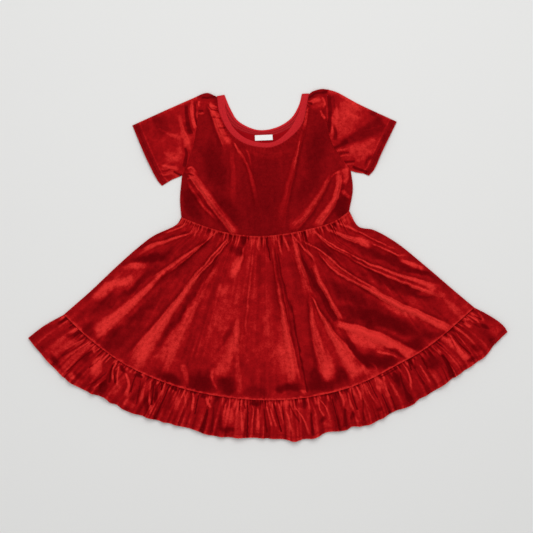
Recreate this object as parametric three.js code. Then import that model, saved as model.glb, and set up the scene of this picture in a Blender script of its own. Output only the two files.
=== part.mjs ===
// A toddler's party dress of red stretch velvet, laid flat on its back with the front up.
// Millimetres. X runs across the dress, +Y runs from the hem to the neck and +Z is up.
// The origin is on the surface below the middle of the dress.
import * as THREE from "three";

// Thicknesses and clearances
const WALL = 1.2;
const LAYER_GAP = 0.3;
const SEAM_GAP = 0.35;
const BACK_TOP = WALL;
const FRONT_LOW = BACK_TOP + LAYER_GAP;
const FRONT_TOP = FRONT_LOW + WALL;

// The most that a steep wall is deepened, as a multiple of its thickness
const STEEPEST_WALL = 1.6;

// Divisions of the panels
const SHOULDER_STEPS = 3;
const FRONT_NECK_STEPS = 34;
const BACK_NECK_STEPS = 26;
const ARMHOLE_STEPS = 10;
const SIDE_STEPS = 5;
const SKIRT_ROWS = 9;
const SEAM_STEPS = 60;
const SKIRT_SIDE_STEPS = 12;
const SLEEVE_STEPS = 8;
const FOLD_SAMPLES = 14;

// How fast the bow of a panel's side fades towards the panel's middle
const SIDE_FADE = 3;

// The share of its height that a fold keeps at its two ends
const FOLD_END_SHARE = 0.35;

// Skirt gathers below the waist seam, fading over their reach
const WAIST_GATHERS = { count: 38, steps: 3, height: 3.2, reach: 34 };

// Ruffle waves: small gathers at the seam join in pairs into larger waves at the hem
const RUFFLE = {
  waves: 28, steps: 6, rows: 4, seamHeight: 2.6, hemHeight: 6.4, tipShare: 0.12, tipHeight: 0.35, scallop: 0.8,
};
const SEAM_GATHERS = { perWave: 2, fade: 1.5 };
const BACK_RUFFLE = { waves: 20, steps: 4, rows: 2, lift: 2.4 };

// Sleeve and neck band
const SLEEVE = { crown: 3.4, edgeShare: 0.03, edgeInset: 0.021, capGathers: 9, capHeight: 1.1, capReach: 0.3 };
const BAND = { roll: 0.5, turnSteps: 4 };
const LABEL = { length: 27, width: 8.2, thickness: 0.8, x: -6, y: 189.8, tilt: 1.2 };

const VELVET = { color: 0x9c1018, roughness: 0.6, metalness: 0 };
const BACK_VELVET = { color: 0x8a0c14, roughness: 0.7, metalness: 0 };
const RIB = { color: 0xb41820, roughness: 0.85, metalness: 0 };
const WOVEN_TAPE = { color: 0xf2f0ec, roughness: 0.8, metalness: 0 };

// Turns rows of numbers into rows with named columns
function table(columns, rows) {
  return rows.map((row) => Object.fromEntries(columns.map((name, index) => [name, row[index]])));
}

// Two sine terms that space the gathers unevenly, and two that make them unequally strong
const SWAY = table(["size", "turns", "start"], [[0.008, 5, 0], [0.003, 13, 1]]);
const STRENGTH_MEAN = 0.75;
const STRENGTH = table(["size", "turns", "start"], [[0.16, 7.3, 0.6], [0.09, 18, 2.1]]);

const PLACE = ["x", "y"];
const FOLD = ["startX", "startY", "midX", "midY", "endX", "endY", "startWidth", "endWidth", "height"];

// Edges of the bodice, from its top down and from left to right
const LEFT_SHOULDER = table(PLACE, [[-106, 252], [-97, 256], [-89.5, 257], [-76.5, 251.5]]);
const RIGHT_SHOULDER = table(PLACE, [[62, 255.5], [66.5, 259], [80, 263], [91.5, 262]]);
const LEFT_ARMHOLE = table(PLACE, [[-106, 252], [-104.5, 235], [-105.5, 214], [-112, 175], [-128.5, 133.5]]);
const RIGHT_ARMHOLE = table(PLACE, [[91.5, 262], [88, 247], [88, 224], [95, 184], [124.5, 140.5]]);
const LEFT_SIDE = table(PLACE, [[-128.5, 133.5], [-131.5, 98], [-129.5, 70.5]]);
const RIGHT_SIDE = table(PLACE, [[124.5, 140.5], [127.5, 113], [122, 80]]);
const FRONT_NECK = table(PLACE, [
  [-76.5, 251.5], [-72.5, 226], [-56.5, 197], [-35.5, 181.5], [-7.5, 175], [11, 177], [34, 190.5], [52.5, 212],
  [62, 255.5],
]);
const BACK_NECK = table(PLACE, [
  [-76.5, 251.5], [-71.5, 232], [-50.5, 206], [-16, 193.5], [14, 195.5], [42.5, 212.5], [57.5, 239],
  [62, 255.5],
]);

// Free edges of the neck band
const FRONT_BAND_EDGE = table(PLACE, [
  [-64.5, 253.5], [-62, 227], [-51.5, 205.5], [-33, 189.5], [-7.5, 182.5], [11, 185], [33, 203.5], [48.5, 235],
  [51, 255],
]);
const BACK_BAND_EDGE = table(PLACE, [
  [-64.5, 253.5], [-56, 233.5], [-44.5, 215.5], [-16, 202], [11, 205], [34, 218.5], [46.5, 238.5], [51, 255],
]);

// Edges of the sleeves, each from the shoulder or the armpit out to the cuff
const LEFT_SLEEVE_TOP = table(PLACE, [[-106, 252], [-152.5, 231.5], [-203, 208.5]]);
const LEFT_UNDERARM = table(PLACE, [[-128.5, 133.5], [-135, 130.5], [-143.5, 127], [-158.5, 118]]);
const LEFT_CUFF = table(PLACE, [[-203, 208.5], [-182.5, 160], [-164.5, 125], [-158.5, 118]]);
const RIGHT_SLEEVE_TOP = table(PLACE, [[91.5, 262], [103, 258.5], [135.5, 241], [193.5, 214]]);
const RIGHT_UNDERARM = table(PLACE, [[124.5, 140.5], [132.5, 138], [144.5, 136], [151.5, 133]]);
const RIGHT_CUFF = table(PLACE, [[193.5, 214], [171.5, 169], [159, 141.5], [151.5, 133]]);

// Edges of the skirt and the ruffle
const WAIST_SEAM = table(PLACE, [
  [-129.5, 70.5], [-92.5, 56.5], [-62.5, 48], [-14.5, 42.5], [35, 47.5], [90.5, 61], [105.5, 68], [122, 80],
]);
const LEFT_SKIRT_SIDE = table(PLACE, [
  [-129.5, 70.5], [-136, 60.5], [-172, 42.5], [-195, 25], [-226, -2.5], [-264, -38.5], [-305.5, -75],
]);
const RIGHT_SKIRT_SIDE = table(PLACE, [
  [122, 80], [136, 57], [158, 52], [191, 34], [236, -2], [278, -38], [309.5, -64.5],
]);
const RUFFLE_SEAM = table(PLACE, [
  [-305.5, -75], [-264.5, -113.5], [-209.5, -152], [-132.5, -184], [-51.5, -200], [33.5, -202], [123.5, -184],
  [197.5, -148.5], [243.5, -121], [309.5, -64.5],
]);
const LEFT_RUFFLE_TIP = table(PLACE, [[-305.5, -75], [-335.5, -92], [-359, -110]]);
const RIGHT_RUFFLE_TIP = table(PLACE, [[309.5, -64.5], [328, -74], [346, -85.5], [354.5, -93.5], [359, -101]]);
const HEM = table(PLACE, [
  [-359, -110], [-332.5, -141.5], [-296.5, -176], [-260.5, -194], [-244, -199.5], [-236, -207], [-226, -210],
  [-218, -216.5], [-206, -221], [-167.5, -232.5], [-103, -249.5], [-91, -254.5], [-59, -258.5], [-17, -259.5],
  [27, -262], [39.5, -264.5], [54, -261.5], [66, -260.5], [76, -257.5], [87.5, -251.5], [108, -249],
  [119, -247.5], [126.5, -242.5], [144.5, -241.5], [162, -235], [195.5, -217], [211, -213], [219.5, -208.5],
  [227, -201], [243.5, -192.5], [285.5, -164.5], [318.5, -142.5], [329, -134], [339.5, -119.5], [359, -101],
]);

// Folds of the front bodice: where each starts, bends and ends, its widths there and its height
const BODICE_FOLDS = table(FOLD, [
  [-120, 146, -90, 101, -48, 47, 14, 22, 5],
  [-119, 124, -110, 108, -102, 92, 12, 14, 2.5],
  [-53, 184, -31, 144, -15, 89, 9, 13, 3],
  [-55, 172, -52, 130, -50, 92, 14, 16, 2],
  [53, 200, 35, 134, 18, 59, 12, 18, 3.8],
  [89, 156, 63, 97, 35, 55, 13, 18, 4.4],
  [105, 144, 98, 100, 72, 58, 14, 16, 3.8],
  [114, 140, 117, 118, 118, 100, 16, 14, 2.8],
  [-20, 168, -6, 163, 8, 168, 10, 10, 1.2],
]);

// Folds of the front skirt, from its left side to its right side
const SKIRT_FOLDS = table(FOLD, [
  [-124, 62, -152, 48, -184, 32, 13, 17, 3],
  [-109, 49, -150, 33, -194, 17, 13, 18, 3],
  [-176, 4, -198, -2, -224, -8, 20, 26, 2.6],
  [-206, -23, -233, -37, -262, -50, 22, 30, 3.4],
  [-86, 38, -176, -31, -256, -102, 11, 24, 4],
  [-52, 43, -116, -23, -196, -136, 12, 28, 5.6],
  [-79, -1, -119, -68, -164, -158, 17, 26, 3.6],
  [-37, 22, -49, -11, -80, -53, 16, 24, 3.6],
  [-38, -53, -49, -113, -77, -168, 18, 24, 4.8],
  [-45, -121, -46, -155, -48, -188, 14, 18, 2.8],
  [5, 29, 15, -38, 45, -158, 12, 19, 5],
  [18, 24, 35, -58, 60, -197, 10, 16, 3],
  [33, 37, 62, -53, 104, -173, 12, 22, 4.8],
  [63, -47, 98, -107, 141, -170, 13, 26, 4.8],
  [48, 37, 81, -28, 110, -91, 12, 17, 5],
  [51, 37, 146, -31, 266, -95, 12, 26, 5.8],
  [71, 46, 153, 0, 254, -41, 11, 22, 5],
  [87, 52, 131, 32, 203, 13, 11, 18, 3.6],
  [95, 64, 138, 49, 195, 20, 12, 18, 3.8],
  [101, -86, 153, -106, 218, -137, 18, 30, 5.6],
  [243, -28, 270, -47, 300, -71, 22, 36, 3.6],
  [168, -131, 181, -136, 194, -143, 16, 16, 2.6],
]);

// Folds of the sleeves
const LEFT_SLEEVE_FOLDS = table(FOLD, [
  [-117, 246, -113, 224, -108, 202, 10, 12, 1.4],
  [-139, 228, -134, 210, -128, 190, 18, 20, 1.2],
  [-150, 136, -139, 141, -129, 144, 12, 12, 1.2],
]);
const RIGHT_SLEEVE_FOLDS = table(FOLD, [
  [98, 252, 118, 222, 140, 190, 22, 26, 1.4],
  [101, 176, 112, 171, 122, 160, 10, 12, 1.2],
  [128, 180, 146, 168, 168, 172, 14, 18, 1],
]);

// Deep gaps between waves of the front ruffle, which press its cloth down
const RUFFLE_GAPS = table(FOLD, [
  [-234, -151, -234, -160, -234, -170, 14, 14, -4],
  [-172, -188, -170, -198, -168, -220, 14, 18, -5],
  [-90, -205, -95, -224, -100, -245, 16, 22, -6],
  [-30, -203, -30, -228, -31, -256, 14, 20, -6],
  [11, -203, 16, -226, 20, -248, 14, 20, -6],
  [99, -206, 104, -226, 108, -248, 14, 20, -5],
  [173, -196, 178, -206, 184, -221, 14, 18, -5],
  [198, -158, 208, -176, 216, -196, 14, 20, -5],
  [230, -131, 233, -141, 236, -151, 14, 16, -4],
]);

// A smooth curve through the places of a table
function curveThrough(places) {
  return new THREE.CatmullRomCurve3(places.map(({ x, y }) => new THREE.Vector3(x, y, 0)), false, "centripetal");
}

// A place along a curve by its share of the length, moved to the left of the direction of travel
function placeAlong(curve, share, shift = 0) {
  const point = curve.getPointAt(share);
  const tangent = curve.getTangentAt(share);
  return new THREE.Vector2(point.x - tangent.y * shift, point.y + tangent.x * shift);
}

// Joins curves end to end into one edge, each taking its own number of steps
function joinedEdge(parts) {
  const total = parts.reduce((sum, part) => sum + part.steps, 0);
  return (share) => {
    let step = share * total;
    const found = parts.find((part) => {
      const here = step <= part.steps;
      step -= here ? 0 : part.steps;
      return here;
    });
    return found ? placeAlong(found.curve, step / found.steps) : placeAlong(parts[parts.length - 1].curve, 1);
  };
}

// Fills the area between four edges: u runs along the top and v from the top to the bottom.
// The panel is ruled from top to bottom, and each side's bow fades towards the middle.
function panelBetween(top, bottom, left, right) {
  const bow = (side, share) => side(share).sub(side(0).lerp(side(1), share));
  return (u, v) => top(u).lerp(bottom(u), v)
    .addScaledVector(bow(left, v), (1 - u) ** SIDE_FADE)
    .addScaledVector(bow(right, v), u ** SIDE_FADE);
}

// The sum of sine terms at a share of the panel's width
function sineSum(terms, share) {
  const circle = 2 * Math.PI;
  return terms.reduce((sum, { size, turns, start }) => sum + size * Math.sin(circle * turns * share + start), 0);
}

// Uneven spacing that keeps both ends where they are
function uneven(share) {
  return share + sineSum(SWAY, share) - sineSum(SWAY, 0);
}

// How strong each gather or wave is, from 0.5 to 1
function strength(share) {
  return STRENGTH_MEAN + sineSum(STRENGTH, share);
}

// A round crest each time the phase passes a whole number, from 0 to 1
function crest(phase) {
  return 0.5 + 0.5 * Math.cos(2 * Math.PI * phase);
}

// Samples each fold once, so that its height can be read at any place
function prepareFolds(folds) {
  return folds.map((fold) => {
    const curve = curveThrough([
      { x: fold.startX, y: fold.startY }, { x: fold.midX, y: fold.midY }, { x: fold.endX, y: fold.endY },
    ]);
    return { ...fold, points: curve.getPoints(FOLD_SAMPLES) };
  });
}

// The height that the folds add at a place: round across each fold and fading at its two ends
function foldHeight(folds, place) {
  return folds.reduce((sum, fold) => {
    let nearest = Infinity;
    let share = 0;
    for (let index = 0; index < FOLD_SAMPLES; index += 1) {
      const from = fold.points[index];
      const to = fold.points[index + 1];
      const along = new THREE.Vector2(to.x - from.x, to.y - from.y);
      const away = new THREE.Vector2(place.x - from.x, place.y - from.y);
      const step = THREE.MathUtils.clamp(away.dot(along) / along.lengthSq(), 0, 1);
      const distance = away.addScaledVector(along, -step).length();
      if (distance < nearest) {
        nearest = distance;
        share = (index + step) / FOLD_SAMPLES;
      }
    }
    const halfWidth = THREE.MathUtils.lerp(fold.startWidth, fold.endWidth, share) / 2;
    if (nearest >= halfWidth) return sum;
    const fade = THREE.MathUtils.lerp(FOLD_END_SHARE, 1, Math.sqrt(Math.sin(Math.PI * share)));
    return sum + fold.height * fade * crest(0.5 * nearest / halfWidth);
  }, 0);
}

// Collects shared vertices and triangles for one closed body
class Body {
  constructor() {
    this.positions = [];
    this.faces = [];
  }

  addPoint(place, height) {
    this.positions.push(place.x, place.y, height);
    return this.positions.length / 3 - 1;
  }

  height(point) {
    return this.positions[3 * point + 2];
  }

  // Splits four corners along the diagonal that changes height less, so that ridges stay whole
  addQuad(a, b, c, d) {
    const firstRise = Math.abs(this.height(a) - this.height(c));
    const secondRise = Math.abs(this.height(b) - this.height(d));
    if (firstRise <= secondRise) {
      this.faces.push(a, b, c, a, c, d);
    } else {
      this.faces.push(a, b, d, b, c, d);
    }
  }

  geometry() {
    const geometry = new THREE.BufferGeometry();
    geometry.setAttribute("position", new THREE.Float32BufferAttribute(this.positions, 3));
    geometry.setIndex(this.faces);
    geometry.computeVertexNormals();
    return geometry;
  }
}

// A cloth wall over a panel: the top follows the heights and the underside keeps the wall's thickness
function clothWall({ panel, columns, rows, lowest, heightAt }) {
  const places = [];
  const tops = [];
  for (let row = 0; row <= rows; row += 1) {
    places.push([]);
    tops.push([]);
    for (let column = 0; column <= columns; column += 1) {
      const u = column / columns;
      const v = row / rows;
      const place = panel(u, v);
      places[row].push(place);
      tops[row].push(lowest(v) + WALL + Math.max(heightAt(u, v, place), 0));
    }
  }
  const slopeAt = (row, column, downRow, downColumn) => {
    const before = [Math.max(row - downRow, 0), Math.max(column - downColumn, 0)];
    const after = [Math.min(row + downRow, rows), Math.min(column + downColumn, columns)];
    const rise = tops[after[0]][after[1]] - tops[before[0]][before[1]];
    return rise / places[after[0]][after[1]].distanceTo(places[before[0]][before[1]]);
  };
  const body = new Body();
  const upper = places.map((line, row) => line.map((place, column) => body.addPoint(place, tops[row][column])));
  const lower = places.map((line, row) => line.map((place, column) => {
    const slope = Math.hypot(slopeAt(row, column, 1, 0), slopeAt(row, column, 0, 1));
    const depth = WALL * Math.min(Math.hypot(1, slope), STEEPEST_WALL);
    return body.addPoint(place, Math.max(tops[row][column] - depth, lowest(row / rows)));
  }));
  for (let row = 0; row < rows; row += 1) {
    for (let column = 0; column < columns; column += 1) {
      const corners = [[row, column], [row + 1, column], [row + 1, column + 1], [row, column + 1]];
      body.addQuad(...corners.map(([r, c]) => upper[r][c]));
      body.addQuad(...corners.reverse().map(([r, c]) => lower[r][c]));
    }
    body.addQuad(upper[row][0], lower[row][0], lower[row + 1][0], upper[row + 1][0]);
    body.addQuad(upper[row + 1][columns], lower[row + 1][columns], lower[row][columns], upper[row][columns]);
  }
  for (let column = 0; column < columns; column += 1) {
    body.addQuad(upper[0][column + 1], lower[0][column + 1], lower[0][column], upper[0][column]);
    body.addQuad(upper[rows][column], lower[rows][column], lower[rows][column + 1], upper[rows][column + 1]);
  }
  return body.geometry();
}

// A flat panel that rests on the surface, cut along the edges in order
function flatPanel(edges) {
  const outline = edges.flatMap(({ edge, steps, backward }) => {
    const shares = Array.from({ length: steps }, (_, index) => index / steps);
    return shares.map((share) => edge(backward ? 1 - share : share));
  });
  return new THREE.ExtrudeGeometry(new THREE.Shape(outline), { depth: WALL, bevelEnabled: false });
}

// The shares across a flattened tube at which its rings have points, close together at both folded edges
function ringShares() {
  const inner = Array.from({ length: ARMHOLE_STEPS - 1 }, (_, index) => (index + 1) / ARMHOLE_STEPS);
  return [SLEEVE.edgeShare, ...inner, 1 - SLEEVE.edgeShare];
}

// A sleeve as a flattened tube, open at the armhole and at the cuff
function sleeve({ armhole, cuff, top, underarm, folds }) {
  const panel = panelBetween(armhole, cuff, top, underarm);
  const prepared = prepareFolds(folds);
  const middle = (BACK_TOP + FRONT_LOW) / 2;
  const shares = ringShares();
  const upperAt = (across, along) => {
    const place = panel(across, along);
    const capFade = Math.max(1 - along / SLEEVE.capReach, 0);
    const cap = SLEEVE.capHeight * capFade * crest(SLEEVE.capGathers * across);
    return FRONT_TOP + (SLEEVE.crown + cap + foldHeight(prepared, place)) * Math.sin(Math.PI * across);
  };
  const ring = (along, inset) => {
    const edgeMove = inset * SLEEVE.edgeInset;
    const points = [{ across: edgeMove, height: middle }];
    shares.forEach((across) => points.push({ across, height: upperAt(across, along) - inset * WALL }));
    points.push({ across: 1 - edgeMove, height: middle });
    [...shares].reverse().forEach((across) => points.push({ across, height: inset * WALL }));
    return points.map(({ across, height }) => ({ place: panel(across, along), height }));
  };
  return { ring, armholeIsLeft: armhole(0).x < cuff(0).x };
}

// Closes the outer and inner rings of a tube into one body with open ends
function tube({ ring, armholeIsLeft }) {
  const body = new Body();
  const layers = [0, 1].map((inset) => Array.from({ length: SLEEVE_STEPS + 1 }, (_, step) => (
    ring(step / SLEEVE_STEPS, inset).map(({ place, height }) => body.addPoint(place, height))
  )));
  const [outer, inner] = layers;
  const size = outer[0].length;
  const quad = (...corners) => body.addQuad(...(armholeIsLeft ? corners : corners.reverse()));
  for (let index = 0; index < size; index += 1) {
    const next = (index + 1) % size;
    for (let step = 0; step < SLEEVE_STEPS; step += 1) {
      quad(outer[step][index], outer[step][next], outer[step + 1][next], outer[step + 1][index]);
      quad(inner[step][index], inner[step + 1][index], inner[step + 1][next], inner[step][next]);
    }
    quad(outer[0][index], inner[0][index], inner[0][next], outer[0][next]);
    const [outerCuff, innerCuff] = [outer[SLEEVE_STEPS], inner[SLEEVE_STEPS]];
    quad(outerCuff[index], outerCuff[next], innerCuff[next], innerCuff[index]);
  }
  return body.geometry();
}

// The neck band: one loop over the front neck, round the right shoulder, along the back and round again
function neckBand(seams) {
  const middle = (BACK_TOP + FRONT_LOW) / 2;
  const outerRadius = FRONT_TOP - middle;
  const innerRadius = FRONT_LOW - middle;
  const section = (seamPlace, freePlace, turn) => {
    const reach = (radius) => Math.sin(turn) * radius;
    const height = (radius) => middle + Math.cos(turn) * radius;
    const crown = BAND.roll * Math.max(Math.cos(turn), 0);
    const centre = seamPlace.clone().lerp(freePlace, 0.5);
    return [
      { place: seamPlace, radius: outerRadius, raise: 0 },
      { place: centre, radius: outerRadius, raise: crown },
      { place: freePlace, radius: outerRadius, raise: 0 },
      { place: freePlace, radius: innerRadius, raise: 0 },
      { place: seamPlace, radius: innerRadius, raise: 0 },
    ].map(({ place, radius, raise }) => ({
      place: new THREE.Vector2(place.x, place.y + reach(radius)), height: height(radius) + raise,
    }));
  };
  const strip = (steps, seam, free, turn, backward) => Array.from({ length: steps + 1 }, (_, index) => {
    const share = backward ? 1 - index / steps : index / steps;
    return section(seam(share), free(share), turn);
  });
  const shoulderTurn = (share) => Array.from({ length: BAND.turnSteps - 1 }, (_, index) => (
    section(seams.front(share), seams.frontEdge(share), Math.PI * (index + 1) / BAND.turnSteps)
  ));
  const sections = [
    ...strip(FRONT_NECK_STEPS, seams.front, seams.frontEdge, 0, false),
    ...shoulderTurn(1),
    ...strip(BACK_NECK_STEPS, seams.back, seams.backEdge, Math.PI, true),
    ...shoulderTurn(0).reverse(),
  ];
  const body = new Body();
  const rings = sections.map((points) => points.map(({ place, height }) => body.addPoint(place, height)));
  rings.forEach((ring, index) => {
    const nextRing = rings[(index + 1) % rings.length];
    ring.forEach((point, corner) => {
      const nextCorner = (corner + 1) % ring.length;
      body.addQuad(point, nextRing[corner], nextRing[nextCorner], ring[nextCorner]);
    });
  });
  return body.geometry();
}

// One named mesh with its own material
function piece(name, geometry, cloth) {
  const mesh = new THREE.Mesh(geometry, new THREE.MeshStandardMaterial(cloth));
  mesh.name = name;
  return mesh;
}

const curves = Object.fromEntries(Object.entries({
  LEFT_SHOULDER, RIGHT_SHOULDER, LEFT_ARMHOLE, RIGHT_ARMHOLE, LEFT_SIDE, RIGHT_SIDE, FRONT_NECK, BACK_NECK,
  FRONT_BAND_EDGE, BACK_BAND_EDGE, LEFT_SLEEVE_TOP, LEFT_UNDERARM, LEFT_CUFF, RIGHT_SLEEVE_TOP,
  RIGHT_UNDERARM, RIGHT_CUFF, WAIST_SEAM, LEFT_SKIRT_SIDE, RIGHT_SKIRT_SIDE, RUFFLE_SEAM, LEFT_RUFFLE_TIP,
  RIGHT_RUFFLE_TIP, HEM,
}).map(([name, places]) => [name, curveThrough(places)]));
const edge = (name, shift = 0) => (share) => placeAlong(curves[name], share, shift);

// The bodice
const bodiceSide = (armhole, side) => joinedEdge([
  { curve: curves[armhole], steps: ARMHOLE_STEPS }, { curve: curves[side], steps: SIDE_STEPS },
]);
const bodiceTop = (neck, neckSteps) => joinedEdge([
  { curve: curves.LEFT_SHOULDER, steps: SHOULDER_STEPS },
  { curve: curves[neck], steps: neckSteps },
  { curve: curves.RIGHT_SHOULDER, steps: SHOULDER_STEPS },
]);
const frontBodicePanel = panelBetween(
  bodiceTop("FRONT_NECK", FRONT_NECK_STEPS), edge("WAIST_SEAM"),
  bodiceSide("LEFT_ARMHOLE", "LEFT_SIDE"), bodiceSide("RIGHT_ARMHOLE", "RIGHT_SIDE"),
);
const bodiceFolds = prepareFolds(BODICE_FOLDS);
const bodiceFront = clothWall({
  panel: frontBodicePanel,
  columns: FRONT_NECK_STEPS + 2 * SHOULDER_STEPS,
  rows: ARMHOLE_STEPS + SIDE_STEPS,
  lowest: () => FRONT_LOW,
  heightAt: (u, v, place) => foldHeight(bodiceFolds, place),
});
const bodiceBackTop = bodiceTop("BACK_NECK", BACK_NECK_STEPS);
const bodiceBack = flatPanel([
  { edge: bodiceSide("LEFT_ARMHOLE", "LEFT_SIDE"), steps: ARMHOLE_STEPS + SIDE_STEPS },
  { edge: edge("WAIST_SEAM"), steps: SEAM_STEPS },
  { edge: bodiceSide("RIGHT_ARMHOLE", "RIGHT_SIDE"), steps: ARMHOLE_STEPS + SIDE_STEPS, backward: true },
  { edge: bodiceBackTop, steps: BACK_NECK_STEPS + 2 * SHOULDER_STEPS, backward: true },
]);

// The sleeves
const sleeveLeft = tube(sleeve({
  armhole: edge("LEFT_ARMHOLE", -SEAM_GAP), cuff: edge("LEFT_CUFF"), top: edge("LEFT_SLEEVE_TOP"),
  underarm: edge("LEFT_UNDERARM"), folds: LEFT_SLEEVE_FOLDS,
}));
const sleeveRight = tube(sleeve({
  armhole: edge("RIGHT_ARMHOLE", SEAM_GAP), cuff: edge("RIGHT_CUFF"), top: edge("RIGHT_SLEEVE_TOP"),
  underarm: edge("RIGHT_UNDERARM"), folds: RIGHT_SLEEVE_FOLDS,
}));

// The skirt
const skirtPanel = panelBetween(
  edge("WAIST_SEAM", -SEAM_GAP), edge("RUFFLE_SEAM"), edge("LEFT_SKIRT_SIDE"), edge("RIGHT_SKIRT_SIDE"),
);
const skirtFolds = prepareFolds(SKIRT_FOLDS);
const skirtFront = clothWall({
  panel: (u, v) => skirtPanel(uneven(u), v),
  columns: WAIST_GATHERS.count * WAIST_GATHERS.steps,
  rows: SKIRT_ROWS,
  lowest: () => FRONT_LOW,
  heightAt: (u, v, place) => {
    const below = v * skirtPanel(uneven(u), 0).distanceTo(skirtPanel(uneven(u), 1));
    const { count, height, reach } = WAIST_GATHERS;
    const fade = Math.exp(-below / (reach * strength(1 - u)));
    return height * strength(u) * crest(count * u) * fade + foldHeight(skirtFolds, place);
  },
});
const skirtBack = flatPanel([
  { edge: (share) => skirtPanel(0, share), steps: SKIRT_SIDE_STEPS },
  { edge: edge("RUFFLE_SEAM"), steps: SEAM_STEPS },
  { edge: (share) => skirtPanel(1, share), steps: SKIRT_SIDE_STEPS, backward: true },
  { edge: edge("WAIST_SEAM", -SEAM_GAP), steps: SEAM_STEPS, backward: true },
]);

// The ruffle
const rufflePanel = panelBetween(
  edge("RUFFLE_SEAM", -SEAM_GAP), edge("HEM"), edge("LEFT_RUFFLE_TIP"), edge("RIGHT_RUFFLE_TIP"),
);
const tipFade = (u) => {
  const inward = THREE.MathUtils.smoothstep(Math.min(u, 1 - u), 0, RUFFLE.tipShare);
  return THREE.MathUtils.lerp(RUFFLE.tipHeight, 1, inward);
};
const hemWave = (u) => crest(RUFFLE.waves * u + 0.5) * strength(u) * tipFade(u);
const ruffleGaps = prepareFolds(RUFFLE_GAPS);
const ruffleFront = clothWall({
  panel: (u, v) => {
    const place = rufflePanel(uneven(u), v);
    place.y -= RUFFLE.scallop * v * hemWave(u);
    return place;
  },
  columns: RUFFLE.waves * RUFFLE.steps,
  rows: RUFFLE.rows,
  lowest: (v) => FRONT_LOW + BACK_RUFFLE.lift * v,
  heightAt: (u, v, place) => {
    const gather = crest(SEAM_GATHERS.perWave * RUFFLE.waves * u) * strength(1 - u) * tipFade(u);
    return RUFFLE.seamHeight * gather * (1 - v) ** SEAM_GATHERS.fade
      + RUFFLE.hemHeight * hemWave(u) * v + foldHeight(ruffleGaps, place);
  },
});
const ruffleBack = clothWall({
  panel: (u, v) => rufflePanel(uneven(u), v),
  columns: BACK_RUFFLE.waves * BACK_RUFFLE.steps,
  rows: BACK_RUFFLE.rows,
  lowest: () => 0,
  heightAt: (u, v) => BACK_RUFFLE.lift * v * crest(BACK_RUFFLE.waves * u + 0.5) * strength(u) * tipFade(u),
});

// The neck band and the label
const band = neckBand({
  front: edge("FRONT_NECK", SEAM_GAP),
  frontEdge: edge("FRONT_BAND_EDGE"),
  back: edge("BACK_NECK", SEAM_GAP),
  backEdge: edge("BACK_BAND_EDGE"),
});
const label = new THREE.BoxGeometry(LABEL.length, LABEL.width, LABEL.thickness);

const labelMesh = piece("neck_label", label, WOVEN_TAPE);
labelMesh.position.set(LABEL.x, LABEL.y, FRONT_LOW + LABEL.thickness / 2);
labelMesh.rotation.z = THREE.MathUtils.degToRad(LABEL.tilt);

const dress = new THREE.Group();
dress.add(
  piece("bodice_front", bodiceFront, VELVET),
  piece("bodice_back", bodiceBack, BACK_VELVET),
  piece("sleeve_left", sleeveLeft, VELVET),
  piece("sleeve_right", sleeveRight, VELVET),
  piece("neck_band", band, RIB),
  piece("skirt_front", skirtFront, VELVET),
  piece("skirt_back", skirtBack, BACK_VELVET),
  piece("ruffle_front", ruffleFront, VELVET),
  piece("ruffle_back", ruffleBack, BACK_VELVET),
  labelMesh,
);

export default dress;
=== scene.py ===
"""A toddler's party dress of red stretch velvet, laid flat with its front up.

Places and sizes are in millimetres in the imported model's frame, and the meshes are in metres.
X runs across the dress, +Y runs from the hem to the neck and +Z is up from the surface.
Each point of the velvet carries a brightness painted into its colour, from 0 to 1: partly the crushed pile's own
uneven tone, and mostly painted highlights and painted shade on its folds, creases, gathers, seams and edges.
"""
import logging
import math
from dataclasses import dataclass, field
from enum import Enum
from typing import Callable

import bpy
import numpy as np
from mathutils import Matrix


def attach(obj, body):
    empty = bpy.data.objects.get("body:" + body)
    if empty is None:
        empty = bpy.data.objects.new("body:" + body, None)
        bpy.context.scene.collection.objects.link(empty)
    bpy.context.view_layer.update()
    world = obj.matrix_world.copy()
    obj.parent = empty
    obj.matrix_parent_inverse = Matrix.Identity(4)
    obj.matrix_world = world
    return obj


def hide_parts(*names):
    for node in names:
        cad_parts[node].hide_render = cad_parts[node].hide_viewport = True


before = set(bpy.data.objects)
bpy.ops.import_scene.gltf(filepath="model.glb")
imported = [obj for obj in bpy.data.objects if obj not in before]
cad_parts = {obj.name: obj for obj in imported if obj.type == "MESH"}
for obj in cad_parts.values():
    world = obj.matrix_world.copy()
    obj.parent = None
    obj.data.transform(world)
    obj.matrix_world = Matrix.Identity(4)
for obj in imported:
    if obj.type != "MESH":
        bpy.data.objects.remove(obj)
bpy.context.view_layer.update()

LOG = logging.getLogger("dress")

Array = np.ndarray
Place = tuple[float, float]
Colour = tuple[float, float, float, float]
EdgeAt = Callable[[Array], Array]
Socket = bpy.types.NodeSocket

MM = 0.001
TINY = 1e-9
CIRCLE = 2.0 * math.pi

# The cloth's thickness, the heights of the two layers and midway between them, and the gap beside a seam
CLOTH = 0.9
LAYER_GAP = 0.3
BACK_TOP = 1.2
FRONT_LOW = BACK_TOP + LAYER_GAP
FRONT_TOP = FRONT_LOW + CLOTH
BETWEEN = (BACK_TOP + FRONT_LOW) / 2
SEAM_GAP = 0.06

# Names of the mesh's layers: the painted tone and shading, and the cloth coordinates
TONE_AND_SHADING = "nap"
THREAD_UV = "cloth_uv"

# The least painted brightness on the rim of a wall, a painted highlight along the rims, and how steeply the painted
# brightness runs up to its two limits
RIM_HIGHLIGHT = 0.5
SHADING_SLOPE = 1.65

# Points on each stretch of a sampled curve, and half the length that its direction is read over
CURVE_STEPS = 40
HALF_STEP = 0.5

# Cells of the noise's lattice each way, and the angle past which an edge is sharp
LATTICE = 128
SHARP_DEGREES = 65

# The power by which the bow of a panel's side fades towards the middle
SIDE_FADE = 3

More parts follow.
